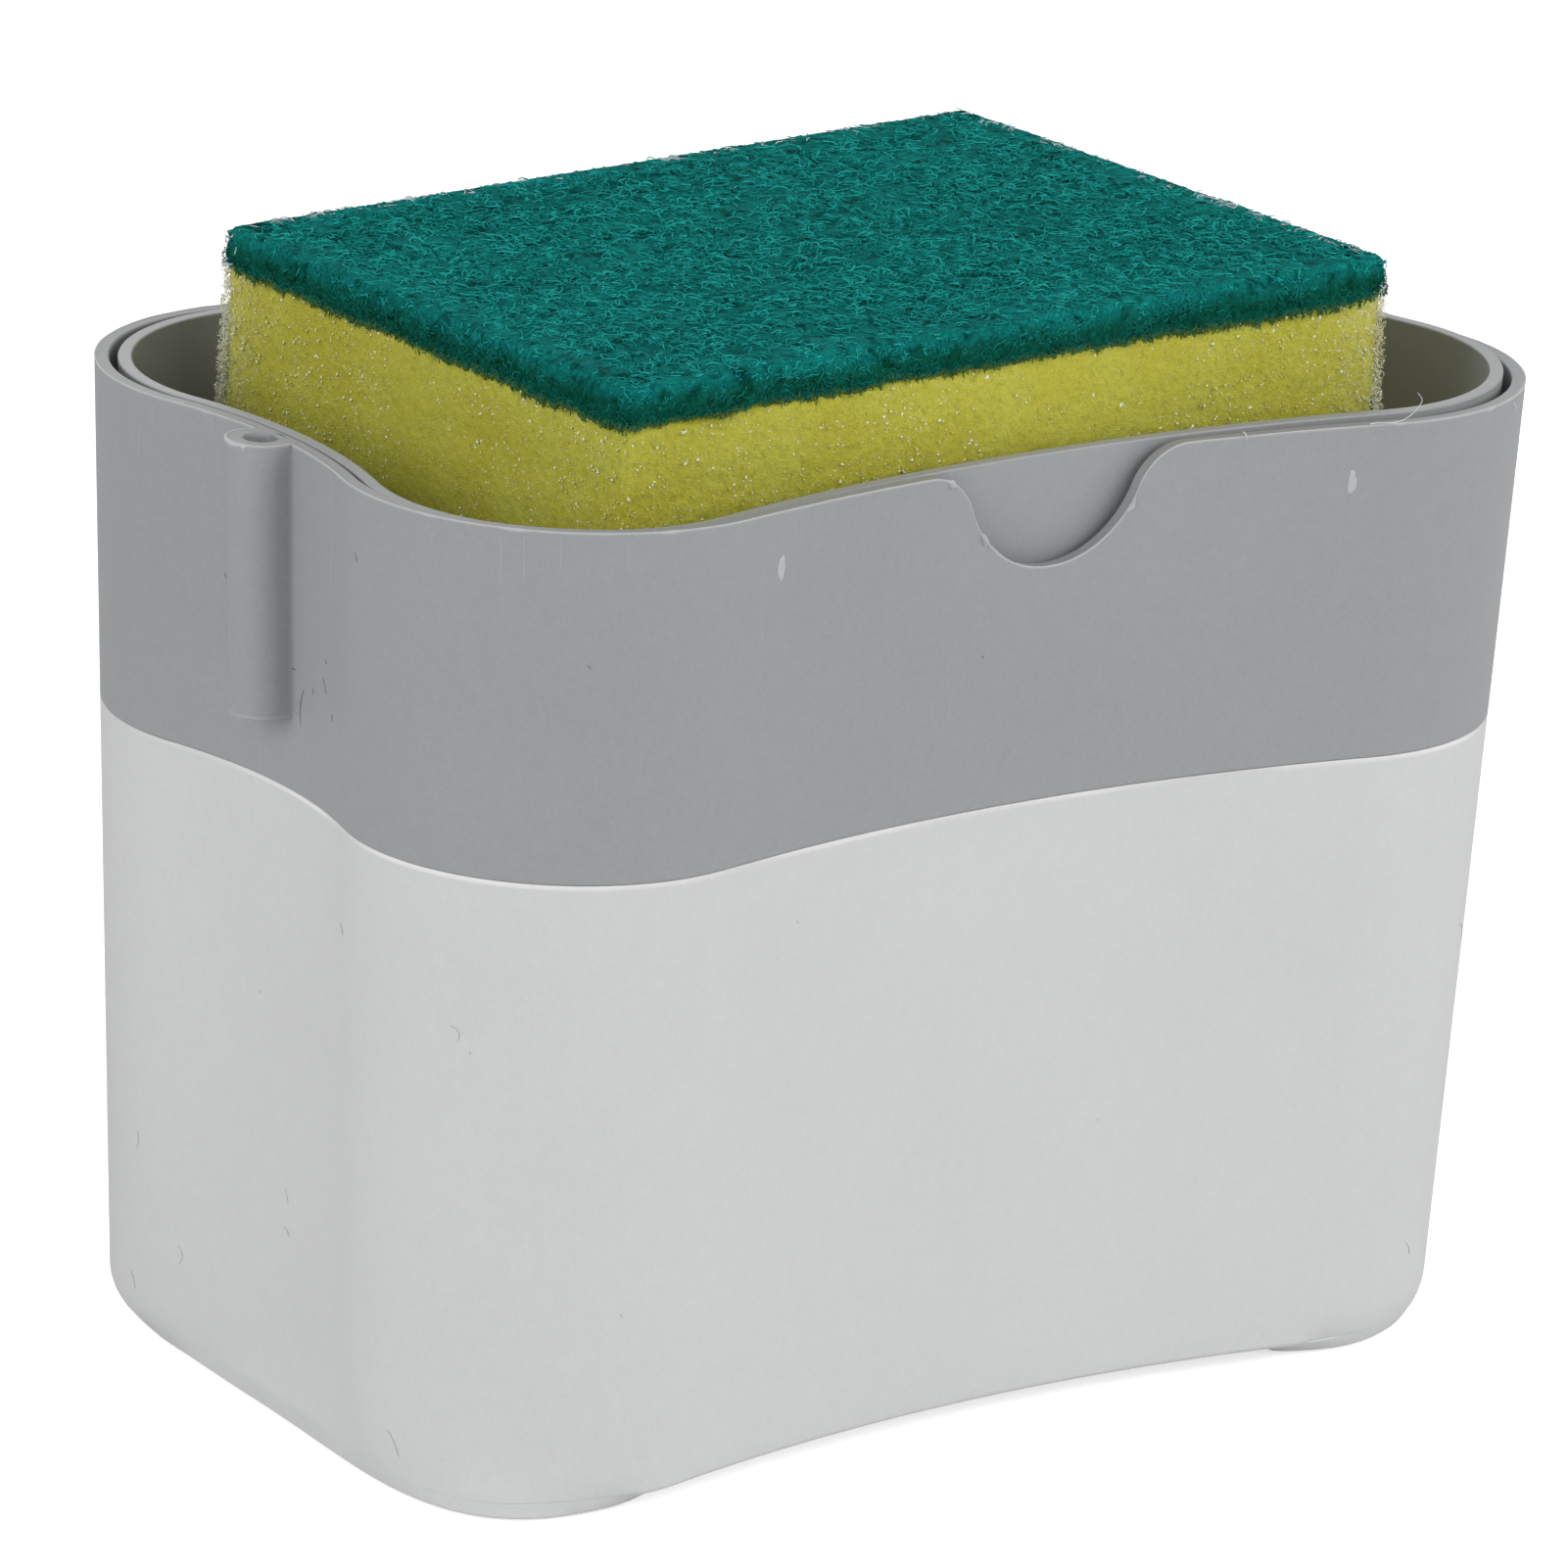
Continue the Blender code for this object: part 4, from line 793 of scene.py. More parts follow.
def side_spots(rng, count, low, high):
    """Random spots on the sponge's four sides and their outward directions."""
    (x0, y0), (x1, y1) = SPONGE_LOW, SPONGE_HIGH
    length, width = x1 - x0, y1 - y0
    place = rng.uniform(0.0, 2.0 * (length + width), count)
    z = rng.uniform(low, high, count)
    bounds = np.array((0.0, length, length + width, 2.0 * length + width))
    face = np.searchsorted(bounds, place, side="right") - 1
    along = place - bounds[face]
    sides = [face == side for side in range(3)]
    x = np.select(sides, [x0 + along, np.full(count, x1), x1 - along], x0)
    y = np.select(sides, [np.full(count, y0), y0 + along, np.full(count, y1)], y1 - along)
    out = np.array(((0.0, -1.0, 0.0), (1.0, 0.0, 0.0), (0.0, 1.0, 0.0), (-1.0, 0.0, 0.0)))[face]
    return np.stack((x, y, z), axis=-1), out


def tangents(rng, out):
    """Two directions at right angles to each outward direction and to each other, turned at random."""
    right = unit(np.cross(out, rng.normal(0.0, 1.0, out.shape)))
    return right, np.cross(out, right)


def foam_lace(rng):
    """Torn cell walls: short curled threads along three of the upright edges, which give the foam a lacy
    outline."""
    (x0, y0), (x1, y1) = SPONGE_LOW, SPONGE_HIGH
    corners = np.array(((x1, y0), (x1, y1), (x0, y1)))
    swing = math.pi / 4.0 + rng.normal(0.0, 0.85, 4900)
    swing = swing[np.abs(swing - math.pi / 4.0) < 1.75]
    count = len(swing)
    corner = corners[rng.integers(1, 4, count) - 1]
    sign = np.sign(corner - (MIDDLE_X, 0.0))
    turn = np.clip(swing, 0.0, math.pi / 2.0)
    facing = sign * np.stack((np.cos(turn), np.sin(turn)), axis=-1)
    slide = (swing - turn)[:, None] * 6.0
    radius = (2.2 - 1.6 * rng.uniform(0.0, 1.0, count) ** 1.8)[:, None]
    flat = corner + radius * (facing - sign) + slide * sign * np.stack((-np.sin(turn), np.cos(turn)), axis=-1)
    spots = np.column_stack((flat, rng.uniform(FOAM_LOW + 0.3, FOAM_HIGH - 0.2, count)))
    out = level_row(facing, 0.0)
    on_edge = swing == turn
    spots = spots + out * rng.uniform(-np.where(on_edge, 0.3, 0.15), np.where(on_edge, 0.25, 0.08))[:, None]
    right, ahead = tangents(rng, out)
    leaned = unit(np.where(on_edge, 0.8, 0.3)[:, None] * out + 0.6 * right)
    other = np.cross(ahead, leaned)
    lengths = rng.uniform(0.45, 1.3, count)
    bends = rng.uniform(2.5, 5.5, count)
    paths = strands(rng, spots, leaned, ahead, other, lengths, bends, 0.1, np.zeros(count), 5)
    paths[..., 2] = np.clip(paths[..., 2], FOAM_LOW + 0.05, FOAM_HIGH)
    radii = rng.uniform(0.02, 0.038, (count, 1)) * np.array((0.6, 1.0, 1.0, 1.0, 1.0, 0.6))
    return tube("sponge_lace", settled(paths), radii, 3)


def foam_glints(rng):
    """Painted glints: small flattened eight-sided grains in a near-white colour on the foam's sides, which
    stand for light glinting off the cell windows.
    """
    spots, out = side_spots(rng, 15500, FOAM_LOW + 0.5, FOAM_HIGH - 0.2)
    level = (spots[:, 2] - FOAM_LOW) / (FOAM_HIGH - FOAM_LOW)
    pulled_in = 0.3 * np.sin(level * math.pi) * clamped((off_corner(spots) - 1.0) / 8.0)
    spots = spots - out * (pulled_in + 0.05)[:, None]
    right, ahead = tangents(rng, out)
    size = rng.gamma(1.7, 0.038, len(spots)).clip(0.022, 0.21)
    long = size * rng.uniform(1.0, 1.8, len(spots))
    right, ahead = right * long[:, None], ahead * size[:, None]
    corners = np.stack((right, ahead, -right, -ahead, out * 0.14, -out * 0.2), axis=1) + spots[:, None]
    index = np.arange(len(spots) * 6).reshape(-1, 6)
    upper = [(side, (side + 1) % 4, 4) for side in range(4)]
    lower = [((side + 1) % 4, side, 5) for side in range(4)]
    triangles = np.concatenate([index[:, loop] for loop in upper + lower])
    return build("sponge_glints", settled(corners.reshape(-1, 3)), np.empty((0, 4)), triangles, sharp=180.0)


def scouring_mat():
    """The scouring pad's body: a flat mat with a soft upper edge, a ragged lower one and an uneven, pitted
    top."""
    profile = eased([(5.0, MAT_TOP), (0.0, MAT_TOP), (0.0, PAD_LOW), (5.0, PAD_LOW)], [1.1, 0.15], steps=6,
                    longest=0.45)
    rows, facing, around = block_rows(profile, 0.8, 0.48)
    share = clamped((MAT_TOP - rows[..., 2]) / (MAT_TOP - PAD_LOW))
    rows[..., 2] -= share * pad_dip(around[:-1], around[-1])[None]
    rough = 0.16 * cloud(rows, 1.1, 81) + 0.14 * cloud(rows, 0.55, 82) + 0.14 * cloud(rows, 6.0, 83)
    rows[..., :2] += facing[None] * (rough * (1.0 - 0.6 * share) + 0.16 - 0.14 * share ** 3)[..., None]
    top = []
    for row in drawn_in(rows[0], np.linspace(0.02, 0.985, 100)):
        level = level_row(row[:, :2], PAD_HIGH)
        height = 0.22 * cloud(level, 7.0, 84) + 0.24 * cloud(level, 1.6, 85) + 0.24 * cloud(level, 0.75, 86)
        top.append(level_row(row[:, :2], PAD_HIGH - 0.4 + height))
    bottom = drawn_in(rows[-1], (0.8, 0.5, 0.2))
    # Depth below the top, which sets the painted shade of the pad's sides.
    depth = np.concatenate((np.zeros((len(top), rows.shape[1])), share, np.ones((3, rows.shape[1]))))
    rows = np.array(top + list(rows) + bottom)
    return skin("scouring_mat", settled(rows), around, marks={"depth": depth}, sharp=180.0)


def hem_place(spots, out):
    """Distances round the block, from the middle of its front, of spots on its four sides."""
    (x0, y0), (x1, y1) = SPONGE_LOW, SPONGE_HIGH
    x, y = spots[:, 0], spots[:, 1]
    back = HALF_LENGTH + 2.0 * HALF_WIDTH
    left = back + 2.0 * HALF_LENGTH
    sides = [out[:, 1] < -0.5, out[:, 0] > 0.5, out[:, 1] > 0.5]
    places = [np.mod(x - MIDDLE_X, SPONGE_ROUND), HALF_LENGTH + y - y0, back + x1 - x]
    return np.select(sides, places, left + y1 - y)


def scouring_fibres(rng):
    """The pad's fibres: bent strands that lie on its top and sides, some looping clear of it, and a
    fringe that hangs over the foam from the ragged lower edge. Marks give each its own tone, its depth
    below the top for painted shade, whether it carries painted rim light at the back and right edges, and
    whether foam has stained it."""
    (x0, y0), (x1, y1) = SPONGE_LOW, SPONGE_HIGH
    count, fringe = 11200, 4400
    tries = 3 * count
    flat = np.stack((rng.uniform(x0 + 0.3, x1 - 0.3, tries), rng.uniform(y0 + 0.3, y1 - 0.3, tries)), axis=-1)
    level = level_row(flat, 0.0)
    thick = cloud(level, 1.3, 92) + 0.6 * cloud(level, 3.1, 93)
    flat = flat[thick > rng.uniform(-0.9, 0.2, tries)][:count]
    inset = np.minimum(flat - SPONGE_LOW, SPONGE_HIGH - flat).min(axis=1)
    fall = 1.1 - np.sqrt(np.clip(1.1 ** 2 - np.clip(1.1 - inset, 0.0, 1.1) ** 2, 0.0, None))
    spots = level_row(flat, MAT_TOP - fall)
    out = np.broadcast_to((0.0, 0.0, 1.0), spots.shape)
    sides, side_out = side_spots(rng, 5000, PAD_LOW + 0.5, PAD_HIGH - 1.0)
    hems, hem_out = side_spots(rng, fringe, PAD_LOW - 0.25, PAD_LOW + 0.45)
    hems[:, 2] -= pad_dip(hem_place(hems, hem_out), SPONGE_ROUND)
    spots = np.concatenate((spots, sides + side_out * 0.12, hems + hem_out * 0.06))
    out = np.concatenate((out, side_out, hem_out))
    number = len(spots)
    on_top, hanging = np.arange(number) < count, np.arange(number) >= number - fringe
    out = unit(out + rng.normal(0.0, 1.0, out.shape) * np.where(hanging, 0.03, 0.12)[:, None])
    right, ahead = tangents(rng, out)
    down = np.cross(np.cross(out, (0.0, 0.0, 1.0)), out)
    down = -down / np.maximum(np.linalg.norm(down, axis=1, keepdims=True), 1e-6)
    right = np.where(hanging[:, None], down, right)
    ahead = np.where(hanging[:, None], np.cross(out, down), ahead)
    lengths = np.where(on_top, rng.uniform(1.3, 3.6, number), rng.uniform(1.0, 2.4, number))
    lengths = np.where(hanging, rng.uniform(0.5, 1.6, number), lengths)
    bends = rng.normal(0.0, 1.0, number) * np.where(hanging, 1.6, 4.0)
    lift = rng.gamma(2.0, 0.13, number).clip(0.0, 0.95) * np.where(hanging, 0.2, 0.4)
    lift[:count] *= 2.5 * np.clip(inset / 3.0, 0.1, 1.0)
    heading = np.where(hanging, rng.normal(0.0, 0.95, number), rng.uniform(0.0, FULL_TURN, number))
    wobble = np.where(hanging, 0.3, 0.9)
    paths = strands(rng, spots, right, ahead, out, lengths, bends, wobble, lift, 5, heading)
    for axis in (0, 1):
        paths[..., axis] = np.clip(paths[..., axis], SPONGE_LOW[axis] - 0.14, SPONGE_HIGH[axis] + 0.14)
    radii = rng.uniform(0.047, 0.086, (number, 1)) * np.array((0.6, 1.0, 1.0, 1.0, 1.0, 0.5))
    tone = rng.uniform(0.0, 1.0, (number, 1)) ** 1.5 * np.ones(6)
    depth = clamped((PAD_HIGH - 0.6 - paths[..., 2]) / (PAD_HIGH - PAD_LOW))
    # Painted rim light: pale bluish fibres near the back and right edges, in patches.
    edge = np.minimum(clamped((y1 - spots[:, 1]) / 2.4), clamped((x1 - spots[:, 0]) / 2.8))
    patch = clamped(0.8 + 0.7 * cloud(spots * (1.0, 1.0, 0.0), 4.5, 91))
    painted_rim_light = (rng.uniform(0.0, 1.0, number) < (1.0 - edge) ** 0.7 * patch)[:, None] * np.ones(6)
    stained = np.where(hanging[:, None], np.linspace(0.1, 1.0, 6) * rng.uniform(0.3, 1.0, (number, 1)), 0.0)
    marks = {"tone": tone, "depth": depth, "painted_rim_light": painted_rim_light, "stained": stained}
    return tube("scouring_fibres", settled(paths), radii, 3, marks)


# Small marks


def gate_mark(name, around, height):
    """A light oval scar on the front wall: an ellipse on the leaning wall with a wavering outline, rough
    in the middle."""
    turn = ring_of(48)
    wobble = 1.0 + 0.10 * np.sin(3.0 * turn + around) + 0.05 * np.sin(7.0 * turn)
    rows = []
    for share, lift in ((0.25, 0.07), (0.5, 0.10), (0.75, 0.09), (0.9, 0.06), (1.0, -0.02), (0.98, -0.1),
                        (0.5, -0.1)):
        grain = lift + 0.03 * np.sin(5.0 * turn + 9.0 * share)
        rows.append(wall_spot(around + 0.52 * share * np.cos(turn) * wobble,
                              height + 1.3 * share * np.sin(turn) * wobble, grain))
    return skin(name, rows, sharp=180.0)


def smooth_path(stops, steps, times):
    """A path of even steps through stops, its corners smoothed a number of times."""
    stops = np.array(stops, float)
    share, places = np.linspace(0.0, 1.0, steps), np.linspace(0.0, 1.0, len(stops))
    path = np.stack([np.interp(share, places, axis) for axis in stops.T], axis=-1)
    for _ in range(times):
        path[1:-1] = (path[:-2] + 2.0 * path[1:-1] + path[2:]) / 4.0
    return path


def wall_threads(name, courses, radius, lift, steps=14):
    """Threads on the outer wall: each course of places around it and heights becomes one smooth path that
    rises a little between its ends."""
    share = np.linspace(0.0, 1.0, steps)
    rise = lift * (0.4 + 0.6 * np.sin(share * math.pi))
    paths = [wall_spot(*smooth_path(course, steps, 2).T, rise) for course in courses]
    taper = clamped(np.minimum(share, 1.0 - share) * 6.0 + 0.4)
    return tube(name, np.array(paths), np.tile(radius * taper, (len(paths), 1)), 4)


COLLAR_LINT = (
    ((200.9, 79.9), (202.2, 80.3), (203.8, 80.4)),
    ((205.6, 78.9), (204.9, 77.6), (204.6, 76.0), (204.8, 74.8)), ((207.7, 79.6), (207.9, 78.9)),
    ((210.4, 81.4), (210.9, 80.8), (211.3, 79.9)), ((219.6, 97.1), (220.0, 96.1)),
    ((190.4, 87.3), (190.6, 86.8)), ((211.2, 83.5), (211.5, 83.1)), ((212.9, 78.3), (213.1, 77.7)),
    ((243.0, 90.2), (243.3, 89.8)), ((291.0, 84.0), (291.4, 83.7)),
    ((26.0, 88.0), (27.0, 87.2), (27.3, 86.0)), ((74.0, 93.0), (75.2, 93.4), (76.0, 92.8)),
    ((131.0, 79.0), (131.4, 77.6), (132.2, 76.8)),
)
TUB_LINT = (
    ((231.9, 51.6), (232.5, 51.5), (232.9, 50.9), (232.7, 50.2)), ((233.8, 49.3), (234.0, 49.0)),
    ((268.5, 59.9), (268.9, 59.5)), ((183.0, 12.5), (183.6, 12.1), (183.7, 11.2), (183.1, 10.4)),
    ((175.3, 7.3), (175.9, 6.6), (176.2, 5.4)), ((200.9, 24.1), (201.4, 23.5), (201.5, 22.7)),
    ((200.5, 19.9), (201.3, 19.8), (201.7, 19.2)), ((224.6, 6.6), (225.4, 6.1), (226.1, 5.0), (226.5, 4.1)),
    ((357.4, 45.2), (358.4, 44.9), (359.6, 43.8), (360.1, 42.6)),
    ((352.0, 11.0), (352.8, 10.3), (353.2, 9.2)), ((176.9, 23.5), (177.1, 22.4), (176.7, 21.4)),
    ((196.0, 44.3), (196.4, 44.0)), ((215.0, 57.2), (215.7, 56.9), (216.0, 56.2)),
    ((311.0, 31.0), (311.3, 30.7)), ((249.0, 22.0), (249.3, 21.6)),
    ((20.0, 40.0), (21.0, 40.6), (21.8, 40.1)), ((95.0, 52.0), (95.5, 51.1), (96.3, 50.6)),
    ((60.0, 18.0), (60.6, 17.2)), ((140.0, 33.0), (140.9, 33.4), (141.6, 32.9)),
)
DRAG_LINES = (
    ((178.25, 103.0), (178.05, 95.8)), ((177.75, 102.9), (177.7, 99.8)), ((180.0, 103.1), (179.9, 100.6)),
    ((213.45, 103.2), (212.7, 89.5)), ((235.5, 103.2), (235.7, 97.3)), ((237.45, 103.2), (237.6, 97.7)),
    ((188.5, 103.2), (188.4, 101.9)), ((240.4, 103.2), (240.5, 99.5)), ((12.2, 103.1), (12.3, 97.0)),
    ((37.0, 103.1), (37.1, 92.0)), ((88.0, 103.2), (88.1, 98.3)), ((126.5, 103.2), (126.6, 94.0)),
    ((161.0, 103.2), (161.1, 99.1)), ((386.0, 103.1), (386.1, 96.4)),
)
# Each thread of flash on the rim: its place around the wall, and its stops from there
WHISKERS = (
    (339.3, ((-0.3, 0.0, 0.1), (1.2, -0.15, 0.1), (2.6, 0.0, 0.45), (4.1, 0.6, 0.95), (5.3, 1.2, 1.6),
             (4.9, 1.7, 2.3))),
    (339.3, ((-2.5, 0.1, 0.25), (-1.7, 0.05, 0.3), (-0.8, -0.1, 0.2), (0.0, -0.2, 0.15), (0.5, -0.2, 0.05),
             (0.8, -0.1, 0.0))),
    (322.0, ((-0.1, 0.1, 0.45), (0.0, -0.1, 0.42), (0.1, -0.2, 0.25), (0.2, -0.22, 0.02), (0.25, -0.2, -0.2),
             (0.25, -0.15, -0.4))),
    (356.0, ((-0.5, 0.0, -0.6), (-0.3, -0.1, -0.75), (0.0, -0.15, -0.95), (0.2, -0.1, -1.15),
             (0.1, -0.1, -1.35), (-0.1, -0.1, -1.4))),
)


def rim_whiskers():
    """Loose threads of flash on the front rim: curls that leave its edge, rise over the tray and hang
    over the outside."""
    steps = 25
    paths = [wall_spot(around, RIM) + smooth_path(stops, steps, 3) for around, stops in WHISKERS]
    thin = 0.065 * (1.0 - 0.5 * np.linspace(0.0, 1.0, steps))
    return tube("rim_whiskers", np.array(paths), np.tile(thin, (len(paths), 1)), 5)


# Finishes


def feed(tree, socket, value):
    """Links a socket to another one or gives it a value; three numbers for a colour get full opacity."""
    if isinstance(value, bpy.types.NodeSocket):
        tree.links.new(value, socket)
    elif socket.type == "RGBA":
        socket.default_value = (*value, 1.0)
    else:
        socket.default_value = value


def node(tree, kind, inputs=None, **settings):
    """A shader node with its settings, and links or values for its inputs by name or index."""
    made = tree.nodes.new(kind)
    for key, value in settings.items():
        setattr(made, key, value)
    for place, value in (inputs or {}).items():
        feed(tree, made.inputs[place], value)
    return made


def maths(tree, operation, first, second=0.0, clamp=False):
    """A Math node on sockets or numbers."""
    made = node(tree, "ShaderNodeMath", {0: first, 1: second}, operation=operation, use_clamp=clamp)
    return made.outputs[0]


def times(tree, first, second, clamp=False):
    """A product of sockets or numbers."""
    return maths(tree, "MULTIPLY", first, second, clamp)


def plus(tree, first, second, clamp=False):
    """A sum of sockets or numbers."""
    return maths(tree, "ADD", first, second, clamp)


def mixed(tree, factor, first, second):
    """A colour mix on sockets or colours."""
    return node(tree, "ShaderNodeMix", {0: factor, 6: first, 7: second}, data_type="RGBA").outputs[2]


def ramp(tree, value, low, high):
    """A value brought from a range to 0 to 1."""
    return node(tree, "ShaderNodeMapRange", {0: value, 1: low, 2: high}).outputs[0]


def noise(tree, vector, scale, detail=2.0, roughness=0.5, distortion=0.0):
    """A noise texture on a vector."""
    inputs = {"Vector": vector, "Scale": scale, "Detail": detail, "Roughness": roughness,
              "Distortion": distortion}
    return node(tree, "ShaderNodeTexNoise", inputs).outputs[0]


def stretched(tree, vector, scale):
    """A vector multiplied axis by axis."""
    return node(tree, "ShaderNodeVectorMath", {0: vector, 1: scale}, operation="MULTIPLY").outputs[0]


def mesh_mark(tree, name):
    """The value that the mesh carries under a name."""
    return node(tree, "ShaderNodeAttribute", attribute_name=name).outputs["Fac"]


def group(name, entries, make):
    """A node group with named inputs, and the outputs that a function makes from them."""
    tree = bpy.data.node_groups.new(name, "ShaderNodeTree")
    for label, kind in entries:
        tree.interface.new_socket(label, in_out="INPUT", socket_type=kind)
    made = make(tree, *tree.nodes.new("NodeGroupInput").outputs[:len(entries)])
    for label in made:
        tree.interface.new_socket(label, in_out="OUTPUT", socket_type="NodeSocketFloat")
    exit_ = tree.nodes.new("NodeGroupOutput")
    for label, value in made.items():
        feed(tree, exit_.inputs[label], value)
    return tree


def moulded_grain(tree, vector, amount):
    """Satin grain of moulded plastic: fine speckle, soft clouds and a height made of both."""
    fine = noise(tree, vector, 2600.0, 3.0, 0.7)
    middle = noise(tree, vector, 620.0, 2.0, 0.55)
    soft = noise(tree, vector, 34.0, 3.0, 0.5)
    spread = plus(tree, times(tree, fine, 0.6), times(tree, middle, 0.25))
    spread = plus(tree, spread, times(tree, soft, 0.35))
    shade = times(tree, maths(tree, "SUBTRACT", spread, 0.6), amount)
    return {"Shade": shade, "Height": plus(tree, fine, middle)}


def mould_lines(tree, wall):
    """Faint upright drag lines on a wall, from its map of distance around and height in decimetres: noise
    that is squeezed around the wall and drawn out in height, kept where it is strongest."""
    thin = noise(tree, stretched(tree, wall, (95.0, 2.6, 0.0)), 7.0, 1.0, 0.4)
    return {"Lines": ramp(tree, thin, 0.715, 0.775)}


def open_cells(tree, vector):
    """Foam cells: two sizes of round pits, their rims, and a speckle."""
    kind = "ShaderNodeTexVoronoi"
    big = node(tree, kind, {"Vector": vector, "Scale": 2100.0}, feature="F1")
    small = node(tree, kind, {"Vector": vector, "Scale": 3000.0}, feature="DISTANCE_TO_EDGE")
    rim = ramp(tree, small.outputs[0], 0.16, 0.02)
    height = plus(tree, big.outputs[0], times(tree, rim, 0.5))
    return {"Rim": rim, "Height": height, "Speckle": noise(tree, vector, 1900.0, 3.0, 0.7)}


def matted_fibre(tree, vector):
    """Matted fibre: curved streaks from strongly distorted noise, over gaps that carry painted shade."""
    curl = noise(tree, vector, 420.0, 3.0, 0.6, 2.6)
    streak = ramp(tree, maths(tree, "ABSOLUTE", maths(tree, "SUBTRACT", curl, 0.5)), 0.07, 0.0)
    gap = ramp(tree, noise(tree, vector, 520.0, 2.0, 0.6, 0.6), 0.5, 0.32)
    return {"Streak": streak, "Gap": gap, "Height": maths(tree, "SUBTRACT", streak, gap)}


VECTOR = ("Vector", "NodeSocketVector")
GRAIN = group("moulded_grain", (VECTOR, ("Amount", "NodeSocketFloat")), moulded_grain)
LINES = group("mould_lines", (VECTOR,), mould_lines)
CELLS = group("open_cells", (VECTOR,), open_cells)
FIBRE = group("matted_fibre", (VECTOR,), matted_fibre)


def use(tree, shared, **inputs):
    """A placed copy of a node group, with links or values for its inputs."""
    return node(tree, "ShaderNodeGroup", inputs, node_tree=shared).outputs


def start(name, roughness, metallic=0.0, specular=0.5):
    """A material with its tree, its shader and the object's own coordinates."""
    material = bpy.data.materials.new(name)
    material.use_nodes = True
    tree = material.node_tree
    shader = tree.nodes["Principled BSDF"]
    shader.inputs["Roughness"].default_value = roughness
    shader.inputs["Metallic"].default_value = metallic
    shader.inputs["Specular IOR Level"].default_value = specular
    return material, tree, shader, node(tree, "ShaderNodeTexCoord").outputs


def relief(tree, shader, height, strength, distance):
    """A bump on the shader's normal."""
    bump = node(tree, "ShaderNodeBump", {"Strength": strength, "Distance": distance, "Height": height})
    feed(tree, shader.inputs["Normal"], bump.outputs[0])


def shaded(colour, share):
    """A colour made darker or paler by a share, up to white."""
    return tuple(min(1.0, value * share) for value in colour)


def grained(tree, grain, dark, pale):
    """A colour moved between two by grain."""
    return mixed(tree, plus(tree, grain["Shade"], 0.5, True), dark, pale)


def satin_plastic(name, colour, light, roughness, amount, lines=0.0, bump=0.12, specular=0.5):
    """Moulded satin plastic: its colour moved by grain, lighter along faint mould lines and on flash, partly
    a painted highlight.
    """
    material, tree, shader, place = start(name, roughness, specular=specular)
    grain = use(tree, GRAIN, Vector=place["Object"], Amount=amount)
    tone = grained(tree, grain, shaded(colour, 0.72), shaded(colour, 1.28))
    if lines:
        streaks = use(tree, LINES, Vector=place["UV"])
        tone = mixed(tree, times(tree, streaks["Lines"], lines), tone, light)
    # Lighter where the flash mark lies: pale flash, partly a painted highlight.
    tone = mixed(tree, times(tree, mesh_mark(tree, "flash_and_highlight"), 0.8, True), tone, light)
    feed(tree, shader.inputs["Base Color"], tone)
    feed(tree, shader.inputs["Roughness"], plus(tree, times(tree, grain["Shade"], 0.25), roughness))
    relief(tree, shader, grain["Height"], bump, 0.00006)
    return material


def clear_tube(name):
    """Milky tube plastic."""
    material, tree, shader, place = start(name, 0.22)
    grain = use(tree, GRAIN, Vector=place["Object"], Amount=0.2)
    feed(tree, shader.inputs["Base Color"], grained(tree, grain, (0.62, 0.65, 0.65), (0.78, 0.80, 0.80)))
    relief(tree, shader, grain["Height"], 0.05, 0.00005)
    return material


def drawn_steel(name, colour, roughness, scale):
    """Steel: fine drag marks in colour, roughness and height."""
    material, tree, shader, place = start(name, roughness, 1.0)
    marks = noise(tree, stretched(tree, place["Object"], scale), 1800.0, 3.0, 0.6)
    feed(tree, shader.inputs["Base Color"], mixed(tree, marks, shaded(colour, 0.8), shaded(colour, 1.15)))
    feed(tree, shader.inputs["Roughness"], plus(tree, times(tree, marks, 0.12), roughness - 0.05))
    relief(tree, shader, marks, 0.08, 0.00003)
    return material


def drifting(name, roughness, specular, scale, low, high, dark, pale, bump=0.0):
    """A finish whose colour drifts between two, where noise of a scale passes from low to high."""
    material, tree, shader, place = start(name, roughness, specular=specular)
    drift = noise(tree, place["Object"], scale)
    feed(tree, shader.inputs["Base Color"], mixed(tree, ramp(tree, drift, low, high), dark, pale))
    if bump:
        relief(tree, shader, drift, bump, 0.00005)
    return material


def foam_finish():
    """Yellow foam with painted shade in its pits and painted highlights on the rims of its cells, with a warm
    and a green cast by turns."""
    material, tree, shader, place = start("foam_yellow", 0.9, specular=0.1)
    shader.inputs["Subsurface Weight"].default_value = 0.25
    shader.inputs["Subsurface Radius"].default_value = (1.0, 1.0, 0.2)
    shader.inputs["Subsurface Scale"].default_value = 0.003
    cell = use(tree, CELLS, Vector=place["Object"])
    cast = noise(tree, place["Object"], 110.0, 3.0, 0.55)
    tone = mixed(tree, ramp(tree, cast, 0.3, 0.7), (0.52, 0.475, 0.038), (0.56, 0.565, 0.075))
    speckle = ramp(tree, cell["Speckle"], 0.45, 0.30)
    # Painted shade in the pits, paler corners that are partly painted light, painted highlights on the cell
    # rims, then dark green specks and the green stain.
    for share, colour in ((times(tree, mesh_mark(tree, "pit_shade"), 1.3, True), (0.33, 0.31, 0.016)),
                          (times(tree, mesh_mark(tree, "corner"), 0.95, True), (0.76, 0.75, 0.25)),
                          (times(tree, cell["Rim"], 0.30), (0.64, 0.62, 0.20)),
                          (times(tree, speckle, 0.38), (0.17, 0.20, 0.014)),
                          (times(tree, mesh_mark(tree, "stained"), 0.75, True), STAIN)):
        tone = mixed(tree, share, tone, colour)
    feed(tree, shader.inputs["Base Color"], tone)
    relief(tree, shader, cell["Height"], 0.55, 0.00025)
    return material


